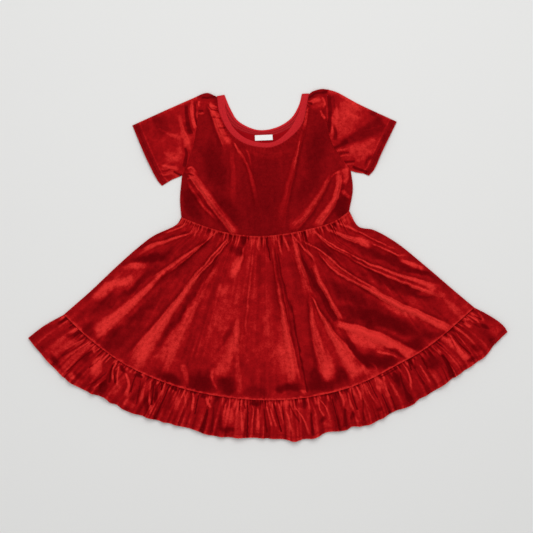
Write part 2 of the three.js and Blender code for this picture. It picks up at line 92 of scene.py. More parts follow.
# Sine terms that space the gathers unevenly and make them unequally strong: size, turns and start
SWAY = ((0.008, 5.0, 0.0), (0.003, 13.0, 1.0))
STRENGTH = ((0.16, 7.3, 0.6), (0.09, 18.0, 2.1))
MEAN_STRENGTH = 0.75

# How a fold is drawn: the points of its line, where it is looked for, how far past its ends it fades, and
# the share of its height at the ends
FOLD_POINTS = 19
NEAR_WIDTHS, NEAR_MORE = 1.6, 12.0
PAST_ENDS = 4.0
END_SHARE = 0.35

# Its ridge against half the painted highlight's band, and the share of that on the crease side
RIDGE_SHARE, RIDGE_MORE = 1.6, 2.0
CREASE_SIDE = 0.5

# The painted highlight's share at the start and the power by which it widens, what is lost at its end, the painted
# shade of the crease, and the width and number of the fibres along the highlight
START_SHARE, WIDENING = 0.75, 1.7
END_LOSS = 0.85
CREASE_DARK = 0.26
FIBRE_WIDTH, FIBRE_CELLS = 1.7, 9.0
FIBRE_MEAN, FIBRE_DEPTH = 0.8, 0.25
SEED_STEP = 7

# Where a fold's start has eased in, and where its painted bands ease in or out across it, in half widths: a fold of
# painted shade, one of painted highlight with no crease, and the open side and the crease side of one with a crease
START_EASE = 0.12
DARK_BAND, PLAIN_BAND = (0.55, 1.35), (0.45, 1.3)
OPEN_SIDE, SHUT_SIDE = (-1.5, -0.5), (0.8, 1.2)

# The painted shadow line beside a crease: its distance and its width, each as half widths and as millimetres
LINE_AWAY, LINE_AWAY_MORE = 1.1, 1.2
LINE_WIDTH, LINE_WIDTH_MORE = 0.35, 1.0

# The rim over which a painted patch of highlight or shade fades, in half sizes
PATCH_RIM = (0.35, 1.3)

# How a tuck differs from the next: its place in steps, its width, its lean and its shine, a painted highlight or
# painted shade. It is full down to a share of its length
TUCK_PLACE = 0.45
TUCK_WIDTHS = (0.6, 1.5)
TUCK_LEAN = 0.06
TUCK_SHINES = (0.3, 0.75)
TUCK_FULL = 0.35

# The sizes of the two noises that make drawn edges ragged, with their seeds, and the share of the second
RAGGED = ((17.0, (81, 82)), (5.0, (83, 84)))
SMALL_SHARE = 0.45

# How far a fold's edge wanders, and a painted patch's: millimetres, and times what a fold's edge does
FOLD_WANDER = 1.1
PATCH_WANDER, PATCH_TIMES = 1.5, 2.0


class Slot(Enum):
    """The material slots."""

    VELVET = "velvet"
    NECK_RIB = "neck_rib"
    LABEL = "label"


class Side(Enum):
    """The two sides of the dress as they lie in the picture, by the direction away from the middle."""

    LEFT = -1
    RIGHT = 1


def smooth_step(low: float, high: float, value: Array) -> Array:
    """Ease from 0 at low to 1 at high: three times the square less twice the cube of the clipped share."""
    share = np.clip((value - low) / (high - low), 0.0, 1.0)
    return share * share * (3.0 - 2.0 * share)


def crest(phase: Array) -> Array:
    """A round crest at each whole number of the phase: half of one plus the cosine."""
    return 0.5 + 0.5 * np.cos(CIRCLE * phase)


def bell(value: Array, centre: float, width: float) -> Array:
    """A soft band of height 1 at its centre: e to the minus square of the distance over the width."""
    return np.exp(-((value - centre) / width) ** 2)


def sine_sum(terms: tuple[tuple[float, float, float], ...], share: Array) -> Array:
    """The sum of sine terms at shares of the width."""
    return sum(size * np.sin(turns * CIRCLE * share + start) for size, turns, start in terms)


def uneven(share: Array) -> Array:
    """Spread evenly spaced shares unevenly, with both ends left in place."""
    return share + sine_sum(SWAY, share) - sine_sum(SWAY, 0.0)


def strength(share: Array) -> Array:
    """How strong each gather is, from 0.5 to 1."""
    return MEAN_STRENGTH + sine_sum(STRENGTH, share)


def cloth_noise(across: Array, along: Array, seed: int) -> Array:
    """Smooth noise from -1 to 1: seeded values on a square lattice, eased from one to the next.

    Args:
        across: First coordinate in lattice steps.
        along: Second coordinate in lattice steps.
        seed: Seed of the lattice.

    Returns:
        Noise of the coordinates' shape.
    """
    lattice = np.random.default_rng(seed).uniform(-1.0, 1.0, (LATTICE, LATTICE))
    left, low = np.floor(across).astype(int), np.floor(along).astype(int)
    ease_across = smooth_step(0.0, 1.0, across - left)
    ease_along = smooth_step(0.0, 1.0, along - low)
    lower, upper = (
        lattice[left % LATTICE, row % LATTICE] * (1 - ease_across)
        + lattice[(left + 1) % LATTICE, row % LATTICE] * ease_across
        for row in (low, low + 1)
    )
    return lower * (1 - ease_along) + upper * ease_along


class Edge:
    """A smooth edge through given points, read by the share of its length."""

    def __init__(self, *places: Place) -> None:
        """Sample a centripetal Catmull-Rom curve through the places.

        Args:
            places: Points in millimetres, in the direction of travel.
        """
        points = np.array(places, dtype=float)
        points = np.vstack([2 * points[0] - points[1], points, 2 * points[-1] - points[-2]])
        before, start, end, after = points[:-3], points[1:-2], points[2:-1], points[3:]
        step_before, step_here, step_after = (
            np.sqrt(np.linalg.norm(step, axis=1))[:, None] for step in (start - before, end - start, after - end)
        )
        leave = (start - before) / step_before - (end - before) / (step_before + step_here)
        leave = (leave + (end - start) / step_here) * step_here
        arrive = (end - start) / step_here - (after - start) / (step_here + step_after)
        arrive = (arrive + (after - end) / step_after) * step_here
        share = np.linspace(0.0, 1.0, CURVE_STEPS, endpoint=False)[None, :, None]
        cube, square = share ** 3, share ** 2
        curve = (2 * cube - 3 * square + 1) * start[:, None] + (cube - 2 * square + share) * leave[:, None]
        curve = curve + (3 * square - 2 * cube) * end[:, None] + (cube - square) * arrive[:, None]
        self.points = np.vstack([curve.reshape(-1, 2), points[-2]])
        self.lengths = lengths_along(self.points)
        self.length = float(self.lengths[-1])

    def at(self, shares: Array, shift: float = 0.0) -> Array:
        """Places along the edge, moved to the left of the direction of travel.

        Args:
            shares: Shares of the length, from 0 to 1.
            shift: Distance in millimetres to the left.

        Returns:
            An array with the two coordinates last.
        """
        along = np.clip(shares, 0.0, 1.0) * self.length
        place = self._read(along)
        if not shift:
            return place
        after, before = np.minimum(along + HALF_STEP, self.length), np.maximum(along - HALF_STEP, 0.0)
        tangent = unit(self._read(after) - self._read(before))
        return place + shift * np.stack([-tangent[..., 1], tangent[..., 0]], axis=-1)

    def shifted(self, shift: float) -> EdgeAt:
        """The edge as a function of the share alone, moved to the left by shift."""
        return lambda shares: self.at(shares, shift)

    def _read(self, along: Array) -> Array:
        """Interpolate the sampled curve at lengths along it."""
        return interpolated(along, self.lengths, self.points)


def unit(vectors: Array) -> Array:
    """Vectors of length 1 in the same directions."""
    return vectors / np.maximum(np.linalg.norm(vectors, axis=-1, keepdims=True), TINY)


def lengths_along(points: Array) -> Array:
    """The length from the first point of a line to each of its points."""
    return np.concatenate([[0.0], np.cumsum(np.linalg.norm(np.diff(points, axis=0), axis=1))])


def interpolated(along: Array, lengths: Array, points: Array) -> Array:
    """Points of a line at lengths along it."""
    return np.stack([np.interp(along, lengths, column) for column in points.T], axis=-1)


def joined(parts: list[tuple[Edge, int]]) -> EdgeAt:
    """Join edges end to end, each taking its own number of steps.

    Args:
        parts: Edges with their numbers of steps.

    Returns:
        A function from shares of all the steps to places.
    """
    bounds = np.concatenate([[0], np.cumsum([steps for _, steps in parts])])

    def at(shares: Array) -> Array:
        """Read the part that each share falls in."""
        steps = np.asarray(shares) * bounds[-1]
        places = np.zeros(steps.shape + (2,))
        for (edge, count), low in zip(parts, bounds[:-1]):
            inside = (steps >= low - TINY) & (steps <= low + count + TINY)
            places[inside] = edge.at((steps[inside] - low) / count)
        return places

    return at


@dataclass(frozen=True)
class Panel:
    """The area between four edges, ruled from the top edge to the bottom one."""

    top: EdgeAt
    bottom: EdgeAt
    left: EdgeAt
    right: EdgeAt

    def places(self, across: Array, down: Array) -> Array:
        """Places in the panel: the ruled lines, plus each side's bow, which fades inwards.

        Args:
            across: Shares along the top and bottom edges, one for each column.
            down: Shares from the top to the bottom, one for each row.

        Returns:
            An array of rows by columns by two coordinates.
        """
        rows = down[:, None, None]
        ruled = (1.0 - rows) * self.top(across)[None] + rows * self.bottom(across)[None]
        fade_left = ((1.0 - across) ** SIDE_FADE)[None, :, None]
        fade_right = (across ** SIDE_FADE)[None, :, None]
        return ruled + self._bow(self.left, down) * fade_left + self._bow(self.right, down) * fade_right

    def lengths(self, across: Array) -> Array:
        """The length of each ruled line, in millimetres."""
        return np.linalg.norm(self.top(across) - self.bottom(across), axis=-1)

    @staticmethod
    def _bow(side: EdgeAt, down: Array) -> Array:
        """How far a side bows from the straight line between its ends."""
        ends = side(np.array([0.0, 1.0]))
        chord = ends[0] * (1.0 - down[:, None]) + ends[1] * down[:, None]
        return (side(down) - chord)[:, None, :]


@dataclass(frozen=True)
class Fold:
    """One fold or crease, from its start through its middle to its end.

    The widths are those of the painted highlight's band at the start and at the end; a shine below 0 makes the fold
    a band of painted shade instead. The crease side is 1 where a crease with painted shade lies to the left of the
    direction of travel, -1 to the right and 0 where there is none. The painted highlight fades over the share of
    the fold past fade_from.
    """

    start: Place
    middle: Place
    end: Place
    start_width: float
    end_width: float
    height: float
    shine: float
    crease: int = 0
    fade_from: float = 0.72

    def add_to(self, places: Array, height: Array, nap: Array) -> None:
        """Add this fold to the height and to the painted highlights and shade.

        The ridge is a half cosine across the fold, steeper on its crease side. The painted highlight eases in
        from its open side and ends at its crease, and fine fibres run along it. Both fade at the two
        ends, but the painted shade of a crease keeps its depth to the last.

        Args:
            places: Places with two coordinates last.
            height: Heights in millimetres, changed in place.
            nap: Brightness painted into the colour, changed in place.
        """
        line = Edge(self.start, self.middle, self.end).at(np.linspace(0.0, 1.0, FOLD_POINTS))
        reach = NEAR_WIDTHS * max(self.start_width, self.end_width) + NEAR_MORE
        near = np.all((places > line.min(axis=0) - reach) & (places < line.max(axis=0) + reach), axis=-1)
        if not near.any():
            return
        side, share = nearest_on_line(places[near], line)
        narrow = self.start_width * (START_SHARE + (1.0 - START_SHARE) * share)
        half = 0.5 * (narrow + (self.end_width - self.start_width) * share ** WIDENING)
        beyond = smooth_step(PAST_ENDS, 0.0, self._overshoot(places[near], line))
        inner_ends = END_SHARE + (1.0 - END_SHARE) * np.sqrt(np.sin(math.pi * np.clip(share, 0.0, 1.0)))
        steep = np.where(side * self.crease > 0, CREASE_SIDE, 1.0)
        ridge = np.clip(np.abs(side) / ((RIDGE_SHARE * half + RIDGE_MORE) * steep), 0.0, 1.0)
        height[near] += self.height * inner_ends * crest(0.5 * ridge) * beyond
        # The fold's painted highlight and the painted shade of its crease
        nap[near] += self._brightness(side, share, half) * beyond

    def _brightness(self, side: Array, share: Array, half: Array) -> Array:
        """The fold's painted highlight, and the painted shade of its crease.

        Args:
            side: Signed distance from the fold's line.
            share: Share along the line.
            half: Half of the band's width.

        Returns:
            The added brightness.
        """
        ends = smooth_step(0.0, START_EASE, share)
        away = np.abs(side) / half
        if self.shine < 0:
            return self.shine * ends * (1.0 - smooth_step(*DARK_BAND, away))
        ends = ends * (1.0 - END_LOSS * smooth_step(self.fade_from, 1.0, share))
        band = 1.0 - smooth_step(*PLAIN_BAND, away)
        if self.crease:
            toward = side * self.crease / half
            band = smooth_step(*OPEN_SIDE, toward) * (1.0 - smooth_step(*SHUT_SIDE, toward))
        away, width = LINE_AWAY * half + LINE_AWAY_MORE, LINE_WIDTH_MORE + LINE_WIDTH * half
        painted_shade = abs(self.crease) * bell(side * self.crease, away, width)
        seed = int(abs(self.start[0]) * SEED_STEP + abs(self.end[1]))
        fibres = FIBRE_MEAN + FIBRE_DEPTH * cloth_noise(side / FIBRE_WIDTH, share * FIBRE_CELLS, seed)
        return self.shine * band * fibres * ends - CREASE_DARK * painted_shade * ends

    @staticmethod
    def _overshoot(places: Array, line: Array) -> Array:
        """How far places lie beyond the two ends of a line, in millimetres."""
        before = (places - line[0]) @ unit(line[0] - line[1])
        after = (places - line[-1]) @ unit(line[-1] - line[-2])
        return np.maximum(np.maximum(before, after), 0.0)


@dataclass(frozen=True)
class ShadingPatch:
    """A soft oval patch of painted highlight, or of painted shade where its value is below 0."""

    centre: Place
    length: float
    width: float
    angle: float
    nap: float

    def add_to(self, places: Array, nap: Array) -> None:
        """Add the patch: full inside a third of the oval's half size and eased to nothing past its rim.

        Args:
            places: Places with two coordinates last.
            nap: Brightness painted into the colour, changed in place.
        """
        turn = math.radians(self.angle)
        away = places - np.array(self.centre)
        along = (away[..., 0] * math.cos(turn) + away[..., 1] * math.sin(turn)) / (0.5 * self.length)
        side = (away[..., 1] * math.cos(turn) - away[..., 0] * math.sin(turn)) / (0.5 * self.width)
        # A patch of painted highlight, or of painted shade where its value is below 0
        nap += self.nap * (1.0 - smooth_step(*PATCH_RIM, np.hypot(along, side)))


def fold_rows(*rows: tuple[float, ...]) -> tuple[Fold, ...]:
    """Folds from rows: start x and y, middle x and y, end x and y, then a fold's other fields in order."""
    return tuple(Fold(row[:2], row[2:4], row[4:6], *row[6:]) for row in rows)


def shading_patch_rows(*rows: tuple[float, ...]) -> tuple[ShadingPatch, ...]:
    """Painted patches from rows: centre x and y, length, width, angle in degrees and painted brightness."""
    return tuple(ShadingPatch(row[:2], *row[2:]) for row in rows)


@dataclass(frozen=True)
class Tucks:
    """Short uneven tucks that run down from a gathered seam, drawn from a seed.

    Each has its own place, length, width, lean and shine, a painted highlight. About two in five are creases with
    painted shade instead. Half of its width at the seam is widened by its spreading, and it bulges out to its reach
    in half widths.
    """

    count: int
    seed: int
    shortest: float
    longest: float
    width: float
    height: float
    spreading: float = 0.6
    reach: float = 1.4
    bright_share: float = 0.6

    def add_to(self, along: Array, below: Array, height: Array, nap: Array) -> None:
        """Add the tucks: a half cosine across each, in height and in painted highlight or shade, widening and
        fading as it runs down.

        Args:
            along: Distance along the seam in millimetres.
            below: Distance below the seam in millimetres.
            height: Heights in millimetres, changed in place.
            nap: Brightness painted into the colour, changed in place.
        """
        random = np.random.default_rng(self.seed)
        spread = random.uniform(-TUCK_PLACE, TUCK_PLACE, self.count)
        places = (np.arange(self.count) + 0.5 + spread) * float(along.max()) / self.count
        lengths = random.uniform(self.shortest, self.longest, self.count)
        widths = self.width * random.uniform(*TUCK_WIDTHS, self.count)
        leans = random.normal(0.0, TUCK_LEAN, self.count)
        signs = np.where(random.uniform(size=self.count) < self.bright_share, 1.0, -1.0)
        shines = signs * random.uniform(*TUCK_SHINES, self.count)
        for place, length, width, lean, shine in zip(places, lengths, widths, leans, shines):
            half = 0.5 * width * (1.0 + self.spreading * below / length)
            side = np.abs(along - place - lean * below) / half
            fade = 1.0 - smooth_step(TUCK_FULL * length, length, below)
            bump = crest(0.5 * np.minimum(side / self.reach, 1.0)) * fade
            height += math.copysign(self.height, shine) * bump
            # The tuck's painted highlight, or painted shade where its shine is below 0
            nap += shine * bump


def nearest_on_line(places: Array, line: Array) -> tuple[Array, Array]:
    """The nearest point of a line of short straight steps, for many places at once.

    Args:
        places: Places as rows of two coordinates.
        line: Points of the line in order.

    Returns:
        The signed distance, positive to the left of travel, and the share along the line.
    """
    starts, steps = line[:-1], np.diff(line, axis=0)
    away = places[:, None, :] - starts[None]
    lengths = np.linalg.norm(steps, axis=1)
    share = np.clip((away * steps).sum(axis=-1) / lengths ** 2, 0.0, 1.0)
    gap = away - share[..., None] * steps
    distance = np.linalg.norm(gap, axis=-1)
    nearest = distance.argmin(axis=1)
    pick = np.arange(len(places))
    turn = steps[nearest, 0] * away[pick, nearest, 1] - steps[nearest, 1] * away[pick, nearest, 0]
    total = (nearest + share[pick, nearest]) / len(steps)
    return np.sign(turn) * distance[pick, nearest], total


def ragged(places: Array, amount: float) -> Array:
    """Move places a little by two sizes of noise, so that what is drawn there gets uneven edges.

    Args:
        places: Places with two coordinates last.
        amount: Size of the larger movement in millimetres.

    Returns:
        The moved places.
    """
    wide, small = (
        np.stack([cloth_noise(places[..., 0] / size, places[..., 1] / size, seed) for seed in seeds], axis=-1)
        for size, seeds in RAGGED
    )
    return places + amount * (wide + SMALL_SHARE * small)


def limited(nap: Array) -> Array:
    """Keep the painted tone and shading between 0 and 1 without flat areas: a hyperbolic tangent about one half."""
    return 0.5 + 0.5 * np.tanh(SHADING_SLOPE * (nap - 0.5))


@dataclass
class Surface:
    """Points, faces, the painted tone and shading and the cloth coordinates of one mesh, in millimetres."""

    points: Array
    faces: Array
    nap: Array
    uv: Array | None = None
    upper_faces: int = 0


def grid_normals(grid: Array) -> Array:
    """Unit normals of a grid whose rows run down and whose columns run across, seen from above."""
    return unit(np.cross(np.gradient(grid, axis=0), np.gradient(grid, axis=1)))


def strip_quads(first: Array, second: Array) -> Array:
    """Quads between two lines of point numbers of one length."""
    return np.stack([first[:-1], second[:-1], second[1:], first[1:]], axis=-1).reshape(-1, 4)


def two_layers(first: Array, second: Array) -> tuple[Array, Array, Array]:
    """Number the points of two grids of one shape, one after the other.

    Args:
        first: Points, rows by columns by three.
        second: Points of the second grid.

    Returns:
        All the points as rows, and the numbers of each grid's points.
    """
    rows, columns = first.shape[:2]
    number = np.arange(rows * columns).reshape(rows, columns)
    return np.concatenate([first.reshape(-1, 3), second.reshape(-1, 3)]), number, number + rows * columns


def closed_wall(grid: Array, nap: Array, lowest: Array | float) -> Surface:
    """Close a cloth wall: the grid is its upper side, and its lower side is moved in along the normals.

    Args:
        grid: Upper points, rows by columns by three.
        nap: Brightness painted into the colour at each point.
        lowest: Lowest height that the lower side may reach.

    Returns:
        The closed surface with faces that point out.
    """
    lower = grid - grid_normals(grid) * CLOTH
    lower[..., :2] = (grid[..., :2] + lower[..., :2]) / 2
    lower[..., 2] = np.maximum(lower[..., 2], lowest)
    points, number, under = two_layers(grid, lower)
    top = np.stack([number[:-1, :-1], number[1:, :-1], number[1:, 1:], number[:-1, 1:]], axis=-1).reshape(-1, 4)
    bottom = np.stack([under[:-1, :-1], under[:-1, 1:], under[1:, 1:], under[1:, :-1]], axis=-1).reshape(-1, 4)
    sides = [
        strip_quads(number[0], under[0])[:, ::-1],
        strip_quads(number[-1], under[-1]),
        strip_quads(number[:, 0], under[:, 0]),
        strip_quads(number[:, -1], under[:, -1])[:, ::-1],
    ]
    shown = limited(nap)
    # A painted highlight: the rim of the wall is kept at least this bright
    rim = np.ones(shown.shape, dtype=bool)
    rim[1:-1, 1:-1] = False
    shown = np.where(rim, np.maximum(shown, RIM_HIGHLIGHT), shown)
    return Surface(points, np.concatenate([top, bottom, *sides]), np.tile(shown.ravel(), 2), upper_faces=len(top))


def line_on(grid: Array, down: Array, shares: Array) -> Array:
    """Read a line that crosses a grid: on each column, the point at its own share of the way down.

    Args:
        grid: Points, rows by columns by three.
        down: The share of each row.
        shares: The share to read on each column.

    Returns:
        One point for each column.
    """
    row = np.clip(np.searchsorted(down, shares) - 1, 0, len(down) - 2)
    part = ((shares - down[row]) / (down[row + 1] - down[row]))[:, None]
    column = np.arange(grid.shape[1])
    return grid[row, column] * (1.0 - part) + grid[row + 1, column] * part


def wrapped_quads(number: Array, flip: bool) -> Array:
    """Quads of a grid of point numbers that closes on itself across its columns."""
    after = np.roll(number, -1, axis=1)
    quads = np.stack([number[:-1], after[:-1], after[1:], number[1:]], axis=-1).reshape(-1, 4)
    return quads[:, ::-1] if flip else quads


def make_piece(
    name: str, surface: Surface, node: str | None, slot: Slot, *materials: bpy.types.Material,
) -> bpy.types.Object:
    """Put a surface into a mesh and register it with the frame.

    Args:
        name: Name of the new object.
        surface: Points in millimetres with their faces and painted tone and shading.
        node: The solid that the piece stands for, if any.
        slot: A material slot; not used.
        materials: The finish, and a second one for all but the upper faces where it differs.

    Returns:
        The new object, at the origin and unturned.
    """
    mesh = bpy.data.meshes.new(name)
    mesh.vertices.add(len(surface.points))
    mesh.vertices.foreach_set("co", (surface.points * MM).astype(np.float32).ravel())
    mesh.loops.add(surface.faces.size)
    mesh.loops.foreach_set("vertex_index", surface.faces.astype(np.int32).ravel())
    mesh.polygons.add(len(surface.faces))
    mesh.polygons.foreach_set("loop_start", np.arange(0, surface.faces.size, 4, dtype=np.int32))
    mesh.update(calc_edges=True)
    # The brightness painted into the colour: painted highlights and shade, with the cloth's own uneven tone
    mesh.attributes.new(TONE_AND_SHADING, "FLOAT", "POINT").data.foreach_set("value", surface.nap.astype(np.float32))
    if surface.uv is not None:
        layer = mesh.uv_layers.new(name=THREAD_UV)
        layer.data.foreach_set("uv", surface.uv[surface.faces.ravel()].astype(np.float32).ravel())
    mesh.validate()
    mesh.shade_smooth()
    mesh.set_sharp_from_angle(angle=math.radians(SHARP_DEGREES))
    for material in materials:
        mesh.materials.append(material)
    if len(materials) > 1:
        beyond = np.arange(len(surface.faces)) >= surface.upper_faces
        mesh.polygons.foreach_set("material_index", beyond.astype(np.int32))
    piece = bpy.data.objects.new(name, mesh)
    bpy.context.scene.collection.objects.link(piece)
    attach(piece, "root")
    if node:
        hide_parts(node)
    LOG.info("%s: %d faces", name, len(surface.faces))
    return piece


class NodeTree:
    """A small helper that adds and joins shader nodes."""

    def __init__(self, tree: bpy.types.NodeTree) -> None:
        """Keep the tree that nodes are added to."""
        self.tree = tree

    def add(self, kind: str, **values: object) -> bpy.types.Node:
        """Add a node and set its properties, or its inputs where the name has spaces as underscores.

        Args:
            kind: The node's type name.
            values: Properties, or inputs by name. A socket given for an input is joined to it.

        Returns:
            The new node.
        """
        node = self.tree.nodes.new(kind)
        for name, value in values.items():
            if hasattr(node, name):
                setattr(node, name, value)
            else:
                self.feed(value, node.inputs[name.replace("_", " ")])
        return node

    def feed(self, source: object, target: Socket) -> None:
        """Join a socket to an input, or give the input a value."""
        if isinstance(source, bpy.types.NodeSocket):
            self.tree.links.new(source, target)
        else:
            target.default_value = source

    def math(self, kind: str, first: object, second: object = 0.0) -> Socket:
        """The result of a Math node on two sockets or numbers.

        Args:
            kind: The operation, such as ADD or MULTIPLY.
            first: A socket or a number.
            second: A socket or a number.

        Returns:
            The result's socket.
        """
        node = self.tree.nodes.new("ShaderNodeMath")
        node.operation = kind
        self.feed(first, node.inputs[0])
        self.feed(second, node.inputs[1])
        return node.outputs[0]

    def noise(self, place: Socket, **values: float) -> Socket:
        """Noise over places, with its scale and detail."""
        return self.add("ShaderNodeTexNoise", Vector=place, **values).outputs["Fac"]

    def mix(self, share: Socket, low: Socket, high: Socket) -> Socket:
        """The mix of two colours by a share."""
        return self.add("ShaderNodeMix", data_type="RGBA", Factor=share, A=low, B=high).outputs["Result"]


FLOAT = "NodeSocketFloat"
COLOUR = "NodeSocketColor"
VECTOR = "NodeSocketVector"


class PatternGroup:
    """A shader node group with named inputs, which gives a colour and a height."""

    def __init__(self, name: str, inputs: dict[str, str]) -> None:
        """Start the group.

        Args:
            name: Name of the group.
            inputs: Names of the inputs with their socket types.
        """
        self.tree = bpy.data.node_groups.new(name, "ShaderNodeTree")
        for label, kind in inputs.items():
            self.tree.interface.new_socket(label, in_out="INPUT", socket_type=kind)
        for label, kind in (("Colour", COLOUR), ("Height", FLOAT)):
            self.tree.interface.new_socket(label, in_out="OUTPUT", socket_type=kind)
        self.nodes = NodeTree(self.tree)
        self.given = self.nodes.add("NodeGroupInput").outputs

    def finish(self, colour: Socket, height: Socket) -> bpy.types.NodeTree:
        """Join the results to the group's outputs and give its tree."""
        self.nodes.add("NodeGroupOutput", Colour=colour, Height=height)
        return self.tree


# The mottling of the darkest pile, and how far the rib's ridges change its colour and height
LEAST_MOTTLE = 0.25
RIB_DEPTH = 0.06

# The strength and the depth in metres of each pattern's bump
PILE_BUMP = (0.35, 0.0006)
RIB_BUMP = (0.6, 0.0004)
WEAVE_BUMP = (0.6, 0.0002)


def pile_group() -> bpy.types.NodeTree:
    """Crushed velvet pile: three colours by the painted tone and shading, and two sizes of mottling, more where
    bright.
    """
    group = PatternGroup(
        "VelvetPile",
        {"Place": VECTOR, "Nap": FLOAT, "Deep": COLOUR, "Middle": COLOUR, "Bright": COLOUR, "Mottling": FLOAT},
    )
    nodes, given = group.nodes, group.given
    crush = nodes.noise(given["Place"], Scale=170.0, Detail=3.0, Roughness=0.6)
    fibre = nodes.noise(given["Place"], Scale=520.0, Detail=3.0, Roughness=0.65)
    fine = nodes.math("SUBTRACT", fibre, 0.5)
    both = nodes.math("ADD", nodes.math("SUBTRACT", crush, 0.5), fine)
    lit = nodes.math("ADD", given["Nap"], LEAST_MOTTLE)
    mottle = nodes.math("MULTIPLY", nodes.math("MULTIPLY", both, given["Mottling"]), lit)
    nap = nodes.math("ADD", given["Nap"], mottle)
    low = nodes.add("ShaderNodeMapRange", clamp=True, Value=nap, From_Max=0.5).outputs["Result"]
    high = nodes.add("ShaderNodeMapRange", clamp=True, Value=nap, From_Min=0.5).outputs["Result"]
    colour = nodes.mix(high, nodes.mix(low, given["Deep"], given["Middle"]), given["Bright"])
    return group.finish(colour, nodes.math("ADD", crush, fine))


def rib_group() -> bpy.types.NodeTree:
    """Fine rib knit: ridges across the strip, a little unevenness in colour and height, and the painted tone and
    shading.
    """
    group = PatternGroup(
        "RibKnit", {"Place": VECTOR, "Nap": FLOAT, "Ridges": FLOAT, "Low": COLOUR, "High": COLOUR},
    )
    nodes, given = group.nodes, group.given
    split = nodes.add("ShaderNodeSeparateXYZ", Vector=given["Place"]).outputs
    wave = nodes.math("SINE", nodes.math("MULTIPLY", split["X"], given["Ridges"]))
    fluff = nodes.noise(given["Place"], Scale=420.0, Detail=2.0)
    grain = nodes.math("MULTIPLY", nodes.math("SUBTRACT", fluff, 0.5), 0.5)
    relief = nodes.math("ADD", nodes.math("MULTIPLY", wave, RIB_DEPTH), grain)
    colour = nodes.mix(nodes.math("ADD", relief, given["Nap"]), given["Low"], given["High"])
    return group.finish(colour, relief)


def weave_group() -> bpy.types.NodeTree:
    """Plain woven tape: threads both ways as the product of two sine waves."""
    group = PatternGroup("WovenTape", {"Place": VECTOR, "Threads": FLOAT, "Low": COLOUR, "High": COLOUR})
    nodes, given = group.nodes, group.given
    split = nodes.add("ShaderNodeSeparateXYZ", Vector=given["Place"]).outputs
    ways = [nodes.math("SINE", nodes.math("MULTIPLY", split[axis], given["Threads"])) for axis in ("X", "Y")]
    level = nodes.math("ADD", nodes.math("MULTIPLY", nodes.math("MULTIPLY", *ways), 0.5), 0.5)
    return group.finish(nodes.mix(level, given["Low"], given["High"]), level)


def plain_material(
    name: str, settings: dict[str, float | Colour],
) -> tuple[bpy.types.Material, bpy.types.ShaderNodeBsdfPrincipled]:
    """A new material with settings on its shader's own sockets.

    Args:
        name: Name of the material.
        settings: Values by the names of the shader's inputs.

    Returns:
        The material and its shader.
    """
    material = bpy.data.materials.new(name)
    material.use_nodes = True
    shader = material.node_tree.nodes["Principled BSDF"]
    for label, value in settings.items():
        shader.inputs[label].default_value = value
    return material, shader


@dataclass(frozen=True)
class Finish:
    """A cloth's finish: its pattern's values, its bump's strength and depth, and the shader's settings."""

    name: str
    pattern: dict[str, float | Colour]
    bump_strength: float
    bump_depth: float
    settings: dict[str, float | Colour]
    coordinate: str = "Object"

    def material(self, group: bpy.types.NodeTree) -> bpy.types.Material:
        """Build the material round the pattern's node group.

        Args:
            group: The node group, with a place and, if it has one, the painted tone and shading among its inputs.

        Returns:
            The finished material.
        """
        material, shader = plain_material(self.name, self.settings)
        nodes = NodeTree(material.node_tree)
        place = nodes.add("ShaderNodeTexCoord").outputs[self.coordinate]
        pattern = nodes.add("ShaderNodeGroup", node_tree=group, Place=place)
        for label, value in self.pattern.items():
            pattern.inputs[label].default_value = value
        if "Nap" in pattern.inputs:
            nodes.feed(nodes.add("ShaderNodeAttribute", attribute_name=TONE_AND_SHADING).outputs["Fac"], pattern.inputs["Nap"])
        relief = pattern.outputs["Height"]
        bump = nodes.add("ShaderNodeBump", Strength=self.bump_strength, Distance=self.bump_depth, Height=relief)
        nodes.feed(pattern.outputs["Colour"], shader.inputs["Base Color"])
        nodes.feed(bump.outputs["Normal"], shader.inputs["Normal"])
        return material


# The velvet's colours, from Deep through Middle to Bright by the painted tone and shading: the painted shade of
# creases runs towards Deep and painted highlights towards Bright
VELVET_PILE = {
    "Deep": (0.112, 0.0, 0.0014, 1.0), "Middle": (0.36, 0.004, 0.006, 1.0), "Bright": (0.74, 0.030, 0.026, 1.0),
    "Mottling": 0.7,
}
INSIDE_PILE = {
    "Deep": (0.09, 0.0, 0.002, 1.0), "Middle": (0.34, 0.003, 0.006, 1.0), "Bright": (0.50, 0.010, 0.014, 1.0),
    "Mottling": 0.12,
}
VELVET_SHINE = {
    "Roughness": 0.65, "Metallic": 0.1, "Specular IOR Level": 0.02, "Sheen Weight": 0.06, "Sheen Roughness": 0.4,
    "Sheen Tint": (1.0, 0.08, 0.06, 1.0),
}
BACK_PILE = VELVET_PILE | {"Mottling": 0.26}
INSIDE_SHINE = VELVET_SHINE | {"Roughness": 0.85, "Metallic": 0.0}
MATTE = {"Roughness": 0.9, "Specular IOR Level": 0.1}
RIB = {"Low": (0.10, 0.0, 0.002, 1.0), "High": (0.78, 0.022, 0.030, 1.0), "Ridges": 5200.0}
WHITE_TAPE = {"Low": (0.84, 0.83, 0.82, 1.0), "High": (0.98, 0.97, 0.96, 1.0), "Threads": 9000.0}
THREAD = {"Low": (0.26, 0.003, 0.006, 1.0), "High": (0.50, 0.010, 0.016, 1.0), "Threads": 7000.0}


